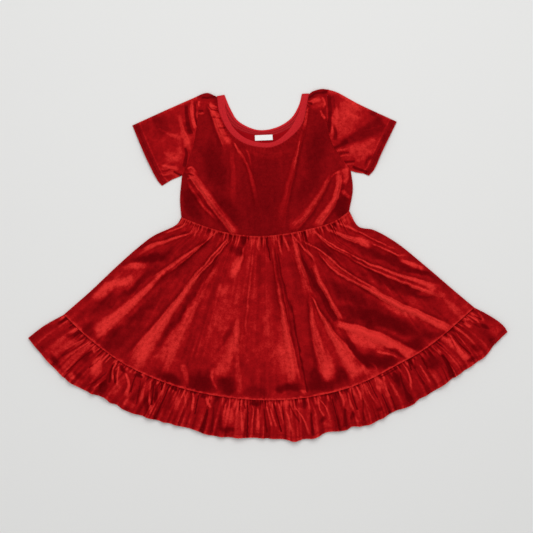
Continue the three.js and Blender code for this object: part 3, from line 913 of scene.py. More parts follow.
@dataclass(frozen=True)
class Finishes:
    """Every finish of the dress."""

    velvet: bpy.types.Material
    back_velvet: bpy.types.Material
    inside: bpy.types.Material
    rib: bpy.types.Material
    tape: bpy.types.Material
    thread: bpy.types.Material

    @classmethod
    def build(cls) -> "Finishes":
        """Make the node groups once and each finish from them."""
        pile, rib, weave = pile_group(), rib_group(), weave_group()
        return cls(
            velvet=Finish("red_velvet", VELVET_PILE, *PILE_BUMP, VELVET_SHINE).material(pile),
            back_velvet=Finish("red_velvet_back", BACK_PILE, *PILE_BUMP, VELVET_SHINE).material(pile),
            inside=Finish("velvet_inside", INSIDE_PILE, *PILE_BUMP, INSIDE_SHINE).material(pile),
            rib=Finish("red_rib", RIB, *RIB_BUMP, MATTE, "UV").material(rib),
            tape=Finish("white_tape", WHITE_TAPE, *WEAVE_BUMP, MATTE).material(weave),
            thread=Finish("red_thread", THREAD, *WEAVE_BUMP, MATTE).material(weave),
        )


# Edges of the bodice
LEFT_SHOULDER = Edge((-106, 252), (-97, 256), (-89.5, 257), (-76.5, 251.5))
RIGHT_SHOULDER = Edge((62, 255.5), (66.5, 259), (80, 263), (91.5, 262))
LEFT_ARMHOLE = Edge((-106, 252), (-104.5, 235), (-105.5, 214), (-112, 175), (-128.5, 133.5))
RIGHT_ARMHOLE = Edge((91.5, 262), (88, 247), (88, 224), (95, 184), (124.5, 140.5))
LEFT_SIDE = Edge((-128.5, 133.5), (-131.5, 98), (-129.5, 70.5))
RIGHT_SIDE = Edge((124.5, 140.5), (127.5, 113), (122, 80))
FRONT_NECK = Edge(
    (-76.5, 251.5), (-72.5, 226), (-56.5, 197), (-35.5, 181.5), (-7.5, 175), (11, 177), (34, 190.5),
    (52.5, 212), (62, 255.5),
)
BACK_NECK = Edge(
    (-76.5, 251.5), (-71.5, 232), (-50.5, 206), (-16, 193.5), (14, 195.5), (42.5, 212.5), (57.5, 239),
    (62, 255.5),
)

# Free edges of the neck band
FRONT_BAND_EDGE = Edge(
    (-64.5, 253.5), (-62, 227), (-51.5, 205.5), (-33, 189.5), (-7.5, 182.5), (11, 185), (33, 203.5),
    (48.5, 235), (51, 255),
)
BACK_BAND_EDGE = Edge(
    (-64.5, 253.5), (-56, 233.5), (-44.5, 215.5), (-16, 202), (11, 205), (34, 218.5), (46.5, 238.5), (51, 255),
)

# Edges of the sleeves
LEFT_SLEEVE_TOP = Edge((-106, 252), (-152.5, 231.5), (-203, 208.5))
LEFT_UNDERARM = Edge((-128.5, 133.5), (-135, 130.5), (-143.5, 127), (-158.5, 118))
LEFT_CUFF = Edge((-203, 208.5), (-182.5, 160), (-164.5, 125), (-158.5, 118))
RIGHT_SLEEVE_TOP = Edge((91.5, 262), (103, 258.5), (135.5, 241), (193.5, 214))
RIGHT_UNDERARM = Edge((124.5, 140.5), (132.5, 138), (144.5, 136), (151.5, 133))
RIGHT_CUFF = Edge((193.5, 214), (171.5, 169), (159, 141.5), (151.5, 133))

# Edges of the skirt and the ruffle
WAIST_SEAM = Edge(
    (-129.5, 70.5), (-92.5, 56.5), (-62.5, 48), (-14.5, 42.5), (35, 47.5), (90.5, 61), (105.5, 68), (122, 80),
)
LEFT_SKIRT_SIDE = Edge(
    (-129.5, 70.5), (-136, 60.5), (-172, 42.5), (-195, 25), (-226, -2.5), (-264, -38.5), (-305.5, -75),
)
RIGHT_SKIRT_SIDE = Edge((122, 80), (136, 57), (158, 52), (191, 34), (236, -2), (278, -38), (309.5, -64.5))
RUFFLE_SEAM = Edge(
    (-305.5, -75), (-264.5, -113.5), (-209.5, -152), (-132.5, -184), (-51.5, -200), (33.5, -202), (123.5, -184),
    (197.5, -148.5), (243.5, -121), (309.5, -64.5),
)
LEFT_RUFFLE_TIP = Edge((-305.5, -75), (-335.5, -92), (-359, -110))
RIGHT_RUFFLE_TIP = Edge((309.5, -64.5), (328, -74), (346, -85.5), (354.5, -93.5), (359, -101))
HEM = Edge(
    (-359, -110), (-332.5, -141.5), (-296.5, -176), (-260.5, -194), (-244, -199.5), (-236, -207), (-226, -210),
    (-218, -216.5), (-206, -221), (-167.5, -232.5), (-103, -249.5), (-91, -254.5), (-59, -258.5), (-17, -259.5),
    (27, -262), (39.5, -264.5), (54, -261.5), (66, -260.5), (76, -257.5), (87.5, -251.5), (108, -249),
    (119, -247.5), (126.5, -242.5), (144.5, -241.5), (162, -235), (195.5, -217), (211, -213), (219.5, -208.5),
    (227, -201), (243.5, -192.5), (285.5, -164.5), (318.5, -142.5), (329, -134), (339.5, -119.5), (359, -101),
)

# Folds, each with its height and its painted highlight and shade, and patches of painted highlight and shade. A
# fold's row:
# start, middle and end places, start and end widths, height, shine, and where they aren't the usual ones the crease
# side and the share that it fades from.
BODICE_FOLDS = fold_rows(
    (-121, 146, -90, 101, -46, 44, 14, 15, 4.6, 0.85, -1, 0.92),
    (-121, 126, -104, 96, -76, 66, 5, 5, 2.4, 0.5, 0, 0.85),
    (-54, 187, -31, 148, -15, 89, 4.5, 7.5, 2.4, 0.45),
    (-55, 175, -52, 133, -51, 88, 9, 10.5, 1.6, 0.25),
    (53, 202, 35, 134, 18, 58, 7.5, 13.5, 3.2, 0.35, 1),
    (94, 136, 69, 90, 36, 52, 8, 15, 3.8, 0.55, 1, 0.9),
    (108, 143, 101, 98, 72, 56, 10, 12, 3.6, 0.85, 1, 0.9),
    (114, 145, 116, 131, 111, 118, 12, 9, 2.4, 0.7),
    (111, 112, 117, 104, 125, 98, 7.5, 6, 1.6, 0.6),
    (-27, 169, -1, 160, 26, 169, 7.5, 7.5, 1, 0.15),
    (-100, 250, -88, 250, -76, 253, 3.9, 3.9, -1, -0.75),
    (-103, 245, -103, 241, -102, 235, 5.4, 5.4, 1.4, 0.85),
    (-103, 230, -100, 230, -96, 230, 2.1, 2.1, -0.8, -0.6),
    (-103, 226, -99, 226, -94, 227, 3.6, 3.9, 1, 0.75),
    (-88, 245, -76, 214, -59, 176, 9, 17, 2.2, 0.8, -1, 0.85),
    (-81, 238, -78, 236, -75, 236, 3, 3, 0.8, 0.8),
    (-90, 242, -84, 232, -73, 230, 2.2, 2.2, -1, -0.8),
    (-84, 220, -78, 220, -72, 218, 2.4, 2.4, -0.8, -0.6),
    (-73, 205, -69, 205, -64, 206, 2.1, 2.1, -0.6, -0.5),
    (-69, 194, -64, 193, -60, 194, 2.1, 2.1, -0.6, -0.45),
    (-121, 143, -114, 146, -106, 137, 3.6, 3.6, 1.6, 0.8),
    (-121, 128, -115, 130, -109, 128, 3.6, 3, 1.2, 0.7),
    (-121, 136, -117, 136, -111, 134, 2.4, 2.4, -1, -0.6),
    (60, 248, 71, 256, 87, 259, 3.9, 3.9, -1, -0.75),
    (54, 241, 68, 245, 80, 250, 7.5, 7.5, 1.6, 0.7),
    (59, 242, 62, 242, 65, 242, 3.6, 3.6, -0.8, -0.9),
    (81, 253, 84, 244, 83, 235, 3.3, 3.6, 1, 0.7),
    (78, 232, 81, 224, 86, 217, 3.9, 4.5, 1.2, 0.85),
    (59, 238, 57, 221, 54, 202, 6.9, 5.1, 1.4, 0.6),
    (-33, 173, -28, 163, -24, 148, 3, 3.6, 1, 0.5),
    (-51, 185, -45, 169, -40, 157, 3, 4.5, 1, 0.45),
    (48, 187, 44, 164, 39, 142, 2.4, 3, 1, 0.5),
    (111, 169, 116, 152, 120, 134, 4.5, 6, 1.2, 0.5),
    (95, 130, 101, 136, 110, 140, 3, 4.5, 1.4, 0.6),
)
BODICE_SHADING_PATCHES = shading_patch_rows(
    (-114, 89, 60, 21, 110, -0.5),
    (111, 86, 36, 21, 70, -0.7),
    (-79, 149, 75, 36, 110, -0.4),
    (75, 172, 75, 36, 75, -0.35),
    (-9, 97, 135, 90, 90, -0.12),
    (-1, 169, 90, 12, 0, 0.1),
    (-6, 120, 120, 60, 90, -0.08),
    (-104, 108, 50, 15, -56, 0.3),
    (-77, 226, 32, 15, -62, 0.3),
    (75, 243, 26, 16, 40, 0.35),
    (-63, 80, 70, 32, -55, -0.4),
    (-92, 240, 34, 22, -20, 0.25),
    (60, 118, 70, 24, 58, -0.25),
)
SKIRT_FOLDS = fold_rows(
    (-124, 59, -141, 51, -160, 47, 3, 3, 1.6, 0.6),
    (-114, 47, -152, 36, -198, 16, 3, 9, 2.6, 0.8, -1),
    (-91, 36, -124, 13, -170, -22, 3.6, 9, 3.6, 0.85, -1, 0.9),
    (-78, 48, -99, 28, -158, -20, 2.2, 2.6, 3.2, 0.7, 1),
    (-156, -15, -205, -58, -260, -105, 10, 23, 3.6, 0.9, 0, 0.9),
    (-56, 41, -90, 6, -128, -38, 2.4, 3.2, 4.6, 0.85, -1),
    (-52, 41, -80, 10, -120, -35, 2.2, 2.6, 4.2, 0.65, 1),
    (-98, -8, -146, -70, -204, -150, 6, 29, 5, 0.8, -1, 0.82),
    (-74, 4, -112, -64, -168, -160, 8, 36, 3.4, 0.36, 0, 0.85),
    (-37, 28, -40, 6, -56, -22, 3, 15, 3.2, 0.5),
    (-43, -78, -52, -120, -73, -170, 9, 28, 4, 0.36, 0, 0.92),
    (-47, -98, -46, -146, -43, -194, 9, 13.5, 2.6, 0.3, 0, 0.95),
    (-31, 40, -31, 33, -31, 25, 4, 4, 1.6, 0.5),
    (-16, 39, -14, 28, -11, 17, 3.6, 4, 1.8, 0.45),
    (-21, 30, -29, -50, -36, -142, 3, 4.5, 2.2, 0.26),
    (6, 34, 17, -40, 42, -172, 4.5, 13, 4.4, 0.45, 1, 0.75),
    (24, -40, 33, -100, 49, -178, 2, 3, 2, 0.3, 0, 0.9),
    (15, 38, 17, 31, 21, 15, 3.6, 4, 1.8, 0.6),
    (24, 41, 28, 32, 33, 20, 4, 5, 2, 0.75),
    (39, 41, 47, 6, 64, -50, 8, 14, 4.2, 0.5, 1, 0.85),
    (36, 46, 50, 28, 71, 7, 2.2, 4.5, 2.6, 0.7),
    (66, 3, 81, -32, 111, -83, 8, 6.5, 4.4, 0.75, -1, 0.9),
    (64, -46, 96, -102, 141, -167, 3, 30, 4.6, 0.85, 1, 0.9),
    (66, -50, 90, -92, 112, -124, 2.2, 3, 2, 0.4),
    (61, -46, 72, -106, 95, -174, 5, 30, 3.4, 0.6, -1, 0.9),
    (98, -86, 157, -105, 222, -138, 13, 18, 5, 1, 1, 0.92),
    (162, -129, 180, -134, 198, -141, 4.5, 2.6, 1.8, 0.7),
    (149, -147, 158, -150, 165, -160, 4.5, 3.5, 1.6, 0.6),
    (50, 36, 78, 21, 112, -7, 2.6, 3, 3.6, 0.75, 1),
    (100, 1, 140, -25, 176, -46, 3, 5, 4.6, 0.75, 1),
    (75, 18, 97, -7, 136, -30, 2.4, 4.2, 3, 0.7, -1),
    (124, -23, 160, -44, 205, -69, 4, 7, 3.6, 0.65, -1),
    (134, -29, 196, -59, 275, -98, 6, 13, 5, 0.95, 1, 0.86),
    (69, 51, 88, 34, 131, 11, 2.4, 2.6, 3.4, 0.7),
    (120, 16, 177, -9, 252, -33, 3.4, 7.5, 4, 0.85, 1, 0.8),
    (72, 47, 87, 31, 131, 7, 2.4, 2.6, 3, 0.6),
    (118, 11, 180, -18, 258, -47, 3.2, 6.5, 3.6, 0.85, -1, 0.8),
    (88, 52, 112, 43, 154, 29, 4.5, 13, 2.8, 0.8, -1, 0.88),
    (100, 63, 118, 57, 138, 49, 4, 3.4, 2.4, 0.6),
    (134, 52, 160, 37, 192, 22, 2.4, 2.8, 2.6, 0.6),
    (155, 32, 176, 23, 198, 11, 3, 3.2, 2.2, 0.5),
    (92, 60, 98, 56, 105, 51, 3, 2.4, 1.4, 0.5),
    (176, 24, 194, 14, 207, 14, 2.4, 2.8, 1.8, 0.6),
    (196, 6, 213, 1, 234, -8, 7, 8, 2, 0.85, 0, 0.85),
    (254, -36, 271, -56, 294, -80, 9, 11, 2.6, 0.4),
    (-2, 42, 0, 28, 3.5, 8, 2.8, 2, -1.6, -1.1),
    (14, 22, 24, -30, 35, -70, 3, 3, -1, -0.4),
    (33, -50, 44, -114, 59, -190, 2.6, 2.6, -1.6, -0.85),
    (45, 20, 63, -14, 100, -82, 6, 8, -1.4, -0.5),
    (106, -88, 124, -120, 150, -150, 8, 13, -1, -0.4),
    (-128, -148, -122, -166, -118, -184, 13, 3, 1.2, 0.42, 0, 0.9),
    (-84, -158, -82, -174, -76, -187, 6, 3, 1.2, 0.5, 0, 0.9),
    (-107, 52, -108, 48, -110, 41, 2.8, 2.8, 1, 0.8),
)
SKIRT_SHADING_PATCHES = shading_patch_rows(
    (-200, -4, 40, 10, 0, 0.7),
    (-224, -27, 44, 13, 16, 0.6),
    (-247, -42, 44, 18, 36, 0.4),
    (-220, -26, 90, 34, 36, 0.2),
    (-178, 8, 56, 14, 8, -0.75),
    (-192, -26, 80, 10, 40, -0.4),
    (-192, -72, 116, 13, 42, -0.35),
    (-126, -66, 180, 11, 57, -0.4),
    (-64, -110, 60, 8, 62, -0.35),
    (-243, -58, 56, 20, 38, -0.4),
    (-232, -113, 51, 30, 30, -0.35),
    (-272, -92, 26, 20, 40, -0.35),
    (-158, 16, 60, 12, 30, -0.25),
    (-147, -170, 42, 21, -22, -0.8),
    (-97, -178, 44, 31, -8, -0.7),
    (-62, -183, 28, 30, 0, -0.6),
    (-20, -190, 46, 18, 0, -0.3),
    (30, -184, 42, 13, 0, -0.8),
    (51, -189, 9, 5, 0, 0.6),
    (35, -160, 22, 27, 0, 0.3),
    (27, -128, 90, 28, -76, 0.2),
    (84, -181, 54, 20, 8, -0.5),
    (74, -166, 26, 16, -60, -0.4),
    (110, -166, 30, 18, -60, -0.5),
    (88, -160, 27, 16, -60, 0.3),
    (144, -110, 84, 26, -20, 0.55),
    (181, -121, 50, 12, -12, 0.3),
    (196, -63, 90, 22, -28, 0.45),
    (236, -45, 34, 9, -12, 0.35),
    (102, -5, 66, 11, -40, 0.25),
    (160, -146, 76, 24, -6, -0.8),
    (191, -130, 34, 8, -20, -0.6),
    (222, -120, 27, 21, -25, -0.5),
    (166, -84, 130, 24, -16, -0.75),
    (150, -62, 110, 26, -24, -0.25),
    (246, -106, 42, 16, 12, -0.45),
    (245, -32, 24, 12, -35, 0.4),
    (146, 31, 24, 9, -15, 0.4),
    (222, -12, 56, 9, -14, -0.6),
    (180, 8, 90, 16, -24, -0.5),
    (196, -34, 120, 14, -22, -0.5),
    (114, -41, 80, 21, -32, -0.3),
    (86, 22, 40, 9, -35, -0.4),
    (150, -5, 90, 10, -32, -0.3),
    (-94, 30, 24, 12, 40, -0.45),
    (-109, -53, 90, 10, 50, -0.2),
    (-139, -8, 80, 16, 42, -0.3),
    (-46, 20, 14, 22, 60, -0.4),
    (-49, -4, 36, 12, 62, 0.5),
    (-70, -38, 26, 18, 60, 0.35),
    (20, -142, 60, 18, -72, 0.14),
    (-56, -96, 150, 76, 66, 0.2),
    (4, -110, 120, 60, 90, 0.12),
)
LEFT_SLEEVE_FOLDS = fold_rows(
    (-133, 229, -128, 204, -116, 168, 8, 13, 1.2, 0.42, 0, 0.85),
    (-131, 216, -122, 194, -115, 171, 2.6, 4, 1, 0.25, 0, 0.9),
    (-122, 241, -121, 220, -115, 197, 6.5, 7, -1, -0.8),
    (-113.5, 247, -113, 224, -107, 202, 7.5, 4.5, 1.4, 0.9, 0, 0.9),
    (-108, 242, -108, 224, -105, 208, 3, 3, -1, -0.7),
    (-165, 205, -148, 196, -130, 190, 4.5, 7.5, 1, 0.3),
    (-123, 176, -121, 164, -124, 148, 4.5, 6, -1, -0.65),
    (-157, 169, -144, 160, -126, 155, 4.5, 9, 1, 0.3),
    (-159, 148, -147, 146, -130, 142, 4.5, 6, 1.2, 0.55),
    (-162, 136, -153, 134, -144, 137, 3, 3.8, 0.8, 0.5),
    (-141, 140, -136, 137, -130, 134, 3, 4.5, -1.4, -0.8),
    (-159, 140, -153, 140, -147, 142, 2.2, 2.2, -0.6, -0.4),
    (-177, 229, -165, 214, -154, 197, 13.5, 18, 0, -0.2),
    (-199, 212, -193, 215, -183, 218, 3, 3, 0.4, 0.45),
)
RIGHT_SLEEVE_FOLDS = fold_rows(
    (91, 256, 93, 230, 91, 198, 8.5, 7, -1, -0.8),
    (96, 254, 99, 239, 96, 224, 6, 4.5, -0.6, -0.35),
    (96, 229, 96, 211, 96, 190, 4.5, 4.5, 1.2, 0.5),
    (101, 244, 104, 226, 101, 204, 3.5, 4, 1.2, 0.25),
    (99, 206, 102, 197, 101, 187, 5.1, 6, -1, -0.55),
    (177, 215, 153, 201, 112, 181, 28, 8, -1, -0.42),
    (172, 208, 155, 203, 140, 199, 3, 2.6, 0.6, 0.25),
    (122, 185, 110, 179, 99, 175, 6, 4.5, -1.2, -0.75),
    (118, 168, 144, 178, 166, 190, 8, 8, 1.2, 0.15),
    (114, 173, 122, 175, 131, 178, 3, 3, 0.8, 0.3),
    (99, 169, 108, 172, 120, 173, 3, 3, 1, 0.7),
    (101, 163, 110, 167, 122, 169, 2.2, 2.2, -1, -0.6),
    (105, 160, 114, 164, 126, 164, 2.7, 3.6, 1, 0.6),
    (102, 155, 114, 154, 128, 155, 3, 3, -1.2, -0.7),
    (125, 148, 137, 143, 149, 139, 4.5, 3.6, -1.4, -0.8),
    (116, 151, 120, 151, 126, 151, 3, 3, 0.8, 0.4),
)
LEFT_SLEEVE_SHADING_PATCHES = shading_patch_rows(
    (-138, 161, 40, 26, 30, 0.32),
    (-128, 186, 50, 22, 100, 0.16),
    (-146, 140, 33, 14, -20, 0.3),
    (-172, 206, 70, 28, 25, -0.18),
)
RIGHT_SLEEVE_SHADING_PATCHES = shading_patch_rows(
    (118, 222, 76, 46, 62, 0.4),
    (140, 172, 56, 28, 30, 0.36),
    (152, 158, 26, 9, 62, -0.5),
    (157, 227, 18, 10, -25, -0.5),
    (104, 236, 22, 10, 80, -0.2),
)
RUFFLE_FOLDS = fold_rows(
    (-277, -101, -289, -104, -300, -107, 4.5, 6, -1, -0.4),
    (-270, -110, -288, -118, -309, -131, 2.2, 4.5, 1.2, 0.35),
    (-270, -113, -288, -125, -307, -137, 2.2, 2.2, -1, -0.35),
    (-267, -116, -282, -125, -303, -140, 3, 4.5, 1.2, 0.3),
    (-262, -128, -279, -140, -300, -160, 2, 2.2, -1.5, -0.65),
    (-250, -140, -258, -148, -267, -154, 2, 2.2, -1.2, -0.5),
    (-240, -160, -255, -173, -270, -182, 2, 2.2, -1.2, -0.45),
    (-241, -169, -256, -181, -265, -185, 2.2, 3, 1.2, 0.45),
    (-258, -121, -261, -127, -258, -133, 3.8, 4.5, 1, 0.6),
    (-231, -149, -235, -160, -237, -175, 2.4, 3.6, -3, -1),
    (-225, -146, -232, -158, -232, -175, 3.3, 4.2, 2, 0.8),
    (-228, -158, -229, -167, -229, -176, 2.1, 2.4, -2, -0.9),
    (-222, -151, -225, -166, -225, -182, 3, 3, 1.6, 0.55),
    (-213, -161, -208, -179, -214, -199, 3.8, 7.5, 2.2, 0.85),
    (-195, -161, -201, -175, -205, -190, 2.1, 2.4, -2.4, -0.85),
    (-190, -172, -193, -190, -196, -208, 2, 2.4, -1.6, -0.45),
    (-181, -167, -187, -190, -190, -211, 4.5, 7.5, 2, 0.45),
    (-171, -179, -172, -194, -174, -209, 2.4, 3, -3, -1),
    (-175, -175, -177, -196, -175, -220, 3, 6, 2, 0.5),
    (-166, -170, -166, -175, -166, -181, 3, 3, 1.2, 0.7),
    (-160, -175, -159, -181, -159, -187, 2.2, 2.2, -2, -0.9),
    (-153, -173, -156, -185, -160, -199, 3.3, 3.9, 1.6, 0.45),
    (-147, -179, -154, -197, -169, -230, 2, 4.2, -4, -1),
    (-132, -185, -135, -202, -138, -223, 7.5, 10.5, 2, 0.4),
    (-126, -190, -123, -205, -123, -221, 3, 4.5, 1.4, 0.35),
    (-112, -190, -112, -205, -114, -221, 3.9, 4.5, 2, 0.8),
    (-103, -194, -106, -206, -109, -223, 2, 2.2, -2.4, -0.85),
    (-90, -215, -94, -233, -100, -251, 4.5, 7.5, -5, -1),
    (-93, -197, -90, -206, -85, -217, 5.2, 4.5, 1.8, 0.6),
    (-81, -211, -82, -230, -84, -250, 3.8, 4.5, -1.2, -0.35),
    (-64, -205, -64, -215, -67, -229, 3, 3, 1.2, 0.35),
    (-43, -203, -45, -215, -48, -229, 3, 3.8, 1.6, 0.5),
    (-42, -206, -42, -212, -43, -218, 1.8, 2, -1.4, -0.6),
    (-36, -205, -36, -209, -34, -215, 1.8, 2, -1.4, -0.55),
    (-40, -217, -39, -233, -37, -250, 3.8, 4.5, 1.6, 0.4),
    (-31, -202, -30, -227, -31, -257, 2, 3.4, -5, -1),
    (-25, -206, -22, -218, -24, -242, 2.2, 2.2, 1, 0.4),
    (-19, -217, -21, -235, -21, -254, 2.2, 2.2, -1, -0.35),
    (-15, -214, -15, -232, -15, -250, 3.9, 6, 2, 0.65),
    (-6, -214, -4, -232, -1, -250, 2.4, 3, -1.4, -0.45),
    (-3, -209, 2, -226, 6, -245, 2.7, 4.5, 1.8, 0.55),
    (3, -214, 8, -229, 14, -247, 2.7, 4.5, 1.8, 0.5),
    (6, -203, 12, -220, 20, -250, 2.1, 2.5, -3, -0.9),
    (15, -205, 20, -221, 24, -242, 2.4, 3.3, 1.4, 0.4),
    (20, -209, 23, -220, 24, -232, 2, 2.1, -1.6, -0.55),
    (27, -218, 32, -233, 35, -251, 3, 5.1, 1.8, 0.55),
    (32, -209, 38, -221, 47, -235, 2.2, 3, -1.2, -0.4),
    (39, -199, 39, -206, 41, -215, 2.1, 2.1, 1, 0.5),
    (41, -214, 53, -230, 62, -254, 2.4, 3.6, 2, 0.65),
    (63, -202, 69, -215, 75, -235, 3, 4.5, 1.2, 0.25),
    (65, -220, 66, -236, 68, -254, 3.9, 4.8, -1.8, -0.6),
    (74, -202, 78, -217, 86, -229, 2.2, 2.7, 1.8, 0.75),
    (77, -202, 86, -212, 92, -226, 2.1, 2.4, 1.8, 0.65),
    (95, -199, 101, -218, 108, -248, 2.1, 3, -4, -1),
    (108, -191, 113, -202, 113, -215, 3.6, 3.9, 1.4, 0.45),
    (116, -214, 116, -226, 116, -241, 4.5, 7.5, -1.6, -0.5),
    (120, -190, 123, -206, 129, -221, 3, 6, 2, 0.65),
    (125, -185, 128, -200, 134, -217, 2.1, 2.4, -2.6, -0.9),
    (134, -182, 138, -194, 140, -205, 4.5, 2.1, 1.6, 0.75),
    (143, -202, 143, -218, 144, -233, 2.4, 3, -1.2, -0.45),
    (147, -181, 155, -196, 164, -209, 2.4, 3, 1.4, 0.45),
    (140, -190, 146, -205, 153, -218, 2.4, 3, 1.2, 0.3),
    (155, -181, 159, -190, 164, -199, 2, 2.1, -1.2, -0.5),
    (170, -191, 176, -206, 183, -223, 2, 3.9, -4, -1),
    (179, -184, 185, -199, 191, -217, 2.1, 2.7, -2, -0.65),
    (173, -170, 177, -185, 185, -202, 3, 4.5, 1.4, 0.35),
    (167, -169, 179, -164, 194, -155, 2, 2, -1, -0.7),
    (182, -176, 188, -185, 195, -199, 4.5, 7.5, 1.6, 0.35),
    (198, -160, 201, -176, 212, -199, 2.4, 5.4, -2.6, -0.85),
    (206, -152, 212, -167, 215, -187, 3, 4.5, 2, 0.8),
    (210, -143, 212, -149, 215, -158, 3, 2.4, -2, -0.9),
    (218, -137, 218, -145, 219, -154, 3.8, 3.8, 1.4, 0.6),
    (221, -154, 228, -167, 240, -182, 3, 3.6, 1.6, 0.45),
    (218, -152, 227, -167, 234, -179, 2, 2.2, -1.6, -0.55),
    (230, -139, 234, -146, 239, -155, 2.7, 2.4, -2, -0.9),
    (227, -149, 236, -164, 245, -179, 3, 3.9, 1.4, 0.5),
    (260, -133, 269, -148, 276, -166, 5.4, 6.9, -1.8, -0.8),
    (260, -152, 266, -164, 270, -175, 2.2, 3, -1, -0.35),
    (269, -104, 273, -116, 276, -127, 3.9, 6.6, 1.6, 0.6),
    (272, -104, 282, -121, 294, -140, 3, 9.8, 2.2, 0.75),
    (276, -103, 288, -119, 303, -133, 2, 2, -1.6, -0.65),
    (281, -101, 293, -116, 305, -131, 2, 2.4, 1.2, 0.4),
    (293, -79, 297, -82, 303, -83, 3.6, 3, 1.2, 0.7),
    (294, -86, 299, -91, 305, -94, 4.5, 5.1, 1.4, 0.8),
    (305, -79, 312, -83, 320, -91, 3, 3, 1.2, 0.5),
    (314, -71, 320, -77, 324, -86, 3.6, 4.5, 1.2, 0.5),
    (308, -76, 314, -79, 320, -82, 2, 2.1, -1, -0.5),
    (308, -88, 312, -91, 317, -94, 2.1, 2.1, -1, -0.45),
    (285, -98, 297, -106, 309, -118, 3, 4.5, 1, 0.25),
)
RUFFLE_SHADING_PATCHES = shading_patch_rows(
    (-274, -137, 21, 13.5, 45, -0.3),
    (-256, -154, 30, 18, 62, 0.75),
    (-318, -143, 26, 9, -62, -0.6),
    (-282, -167, 20, 10, -20, -0.35),
    (-294, -167, 15, 9, -20, 0.4),
    (-309, -121, 51, 21, 28, 0.18),
    (-246, -182, 24, 13.5, 70, -0.5),
    (-226, -190, 27, 12, 85, 0.12),
    (-216, -158, 15, 7.5, -40, -0.8),
    (-193, -167, 12, 6, -30, -0.7),
    (-207, -209, 21, 13.5, -15, 0.35),
    (-181, -209, 21, 7.5, 80, -0.5),
    (-166, -196, 27, 6, 88, -0.7),
    (-142, -184, 12, 6, -30, -0.8),
    (-150, -212, 36, 12, 75, -0.4),
    (-126, -203, 24, 21, 0, 0.12),
    (-97, -197, 10.5, 6, -15, -0.5),
    (-69, -238, 27, 7.5, 88, -0.45),
    (-61, -247, 24, 10.5, -5, -0.5),
    (-57, -226, 26, 13, 85, 0.4),
    (-18, -208, 19.5, 9, 0, -0.85),
    (30, -207, 12, 7, -80, 0.4),
    (54, -209, 13.5, 12, 0, -0.35),
    (83, -232, 15, 9, 60, -0.5),
    (90, -194, 12, 6, 12, -0.6),
    (128, -227, 14, 6, 70, -0.5),
    (135, -235, 12, 6, -60, 0.3),
    (165, -183, 12, 6, -60, 0.4),
    (168, -215, 10.5, 6, 20, -0.4),
    (192, -172, 22.5, 10.5, -65, -0.75),
    (212, -199, 21, 10.5, -60, -0.6),
    (248, -146, 30, 21, -40, -0.55),
    (252, -164, 21, 13.5, -40, 0.12),
    (258, -131, 10, 5, -50, 0.35),
    (282, -143, 27, 13.5, -45, 0.12),
    (293, -137, 13.5, 10.5, -30, 0.4),
    (303, -142, 15, 9, 30, -0.55),
    (312, -124, 21, 12, -20, -0.35),
    (325, -91, 18, 5, -28, -0.7),
    (342, -95, 24, 24, 0, 0.15),
    (336, -113, 7.5, 4.5, 30, -0.5),
)

# The back's low wrinkles in millimetres, its nap, and how far it is crushed
BACK_LIFT = 0.12
BACK_NAP = 0.42
BACK_CRUSHING = 0.1

# The front's folds whose painted highlights and shade, without their height, the back of the skirt mirrors
BACK_FOLDS = slice(4, 27)

# The edges and folds of each sleeve: armhole, cuff, top, underarm, folds and patches of painted highlight and shade
SLEEVE_SHAPES = {
    Side.LEFT: (
        LEFT_ARMHOLE, LEFT_CUFF, LEFT_SLEEVE_TOP, LEFT_UNDERARM, LEFT_SLEEVE_FOLDS, LEFT_SLEEVE_SHADING_PATCHES,
    ),
    Side.RIGHT: (
        RIGHT_ARMHOLE, RIGHT_CUFF, RIGHT_SLEEVE_TOP, RIGHT_UNDERARM, RIGHT_SLEEVE_FOLDS, RIGHT_SLEEVE_SHADING_PATCHES,
    ),
}


# The lights' names, their places and the lengths of their sides in metres, and their power in watts
LIGHTS = (
    ("key", (0.15, 0.9, 2.2), 1.6, 30.0),
    ("fill", (-0.6, -0.9, 2.4), 2.4, 8.0),
)


def worked(
    places: Array, folds: tuple[Fold, ...], shading_patches: tuple[ShadingPatch, ...], unevenness: float = FOLD_WANDER,
) -> tuple[Array, Array]:
    """The height, and the painted highlights and shade, that folds and painted patches give to places.

    Args:
        places: Places with two coordinates last.
        folds: The panel's folds.
        shading_patches: The panel's patches of painted highlight and shade.
        unevenness: How far the edges of folds wander, in millimetres.

    Returns:
        The added height and the added painted highlights and shade.
    """
    height, nap = np.zeros(places.shape[:-1]), np.zeros(places.shape[:-1])
    moved = ragged(places, unevenness)
    for fold in folds:
        fold.add_to(moved, height, nap)
    moved = ragged(places, PATCH_WANDER + PATCH_TIMES * unevenness)
    for patch in shading_patches:
        patch.add_to(moved, nap)
    return height, nap


def edge_rows(count: int, edge_share: float, edge_count: int) -> Array:
    """Shares down a panel, with extra rows close to its top and bottom edges.

    Args:
        count: Rows between the two edges.
        edge_share: The share that each edge's extra rows cover.
        edge_count: Extra rows at each edge.

    Returns:
        The shares from 0 to 1.
    """
    first = np.linspace(0.0, edge_share, edge_count, endpoint=False)
    middle = np.linspace(edge_share, 1.0 - edge_share, count, endpoint=False)
    last = np.linspace(1.0 - edge_share, 1.0, edge_count + 1)
    return np.concatenate([first, middle, last])


def raised(places: Array, height: Array) -> Array:
    """Put heights on places as their third coordinate."""
    return np.concatenate([places, height[..., None]], axis=-1)


@dataclass(frozen=True)
class Noise:
    """A layer of smooth noise: its cells in one unit across and down, and its seed."""

    across: float
    down: float
    seed: int

    def over(self, across: Array, down: Array) -> Array:
        """The noise over two coordinates."""
        return cloth_noise(across * self.across, down * self.down, self.seed)

    def on(self, places: Array) -> Array:
        """The noise over places in millimetres."""
        return self.over(places[..., 0], places[..., 1])


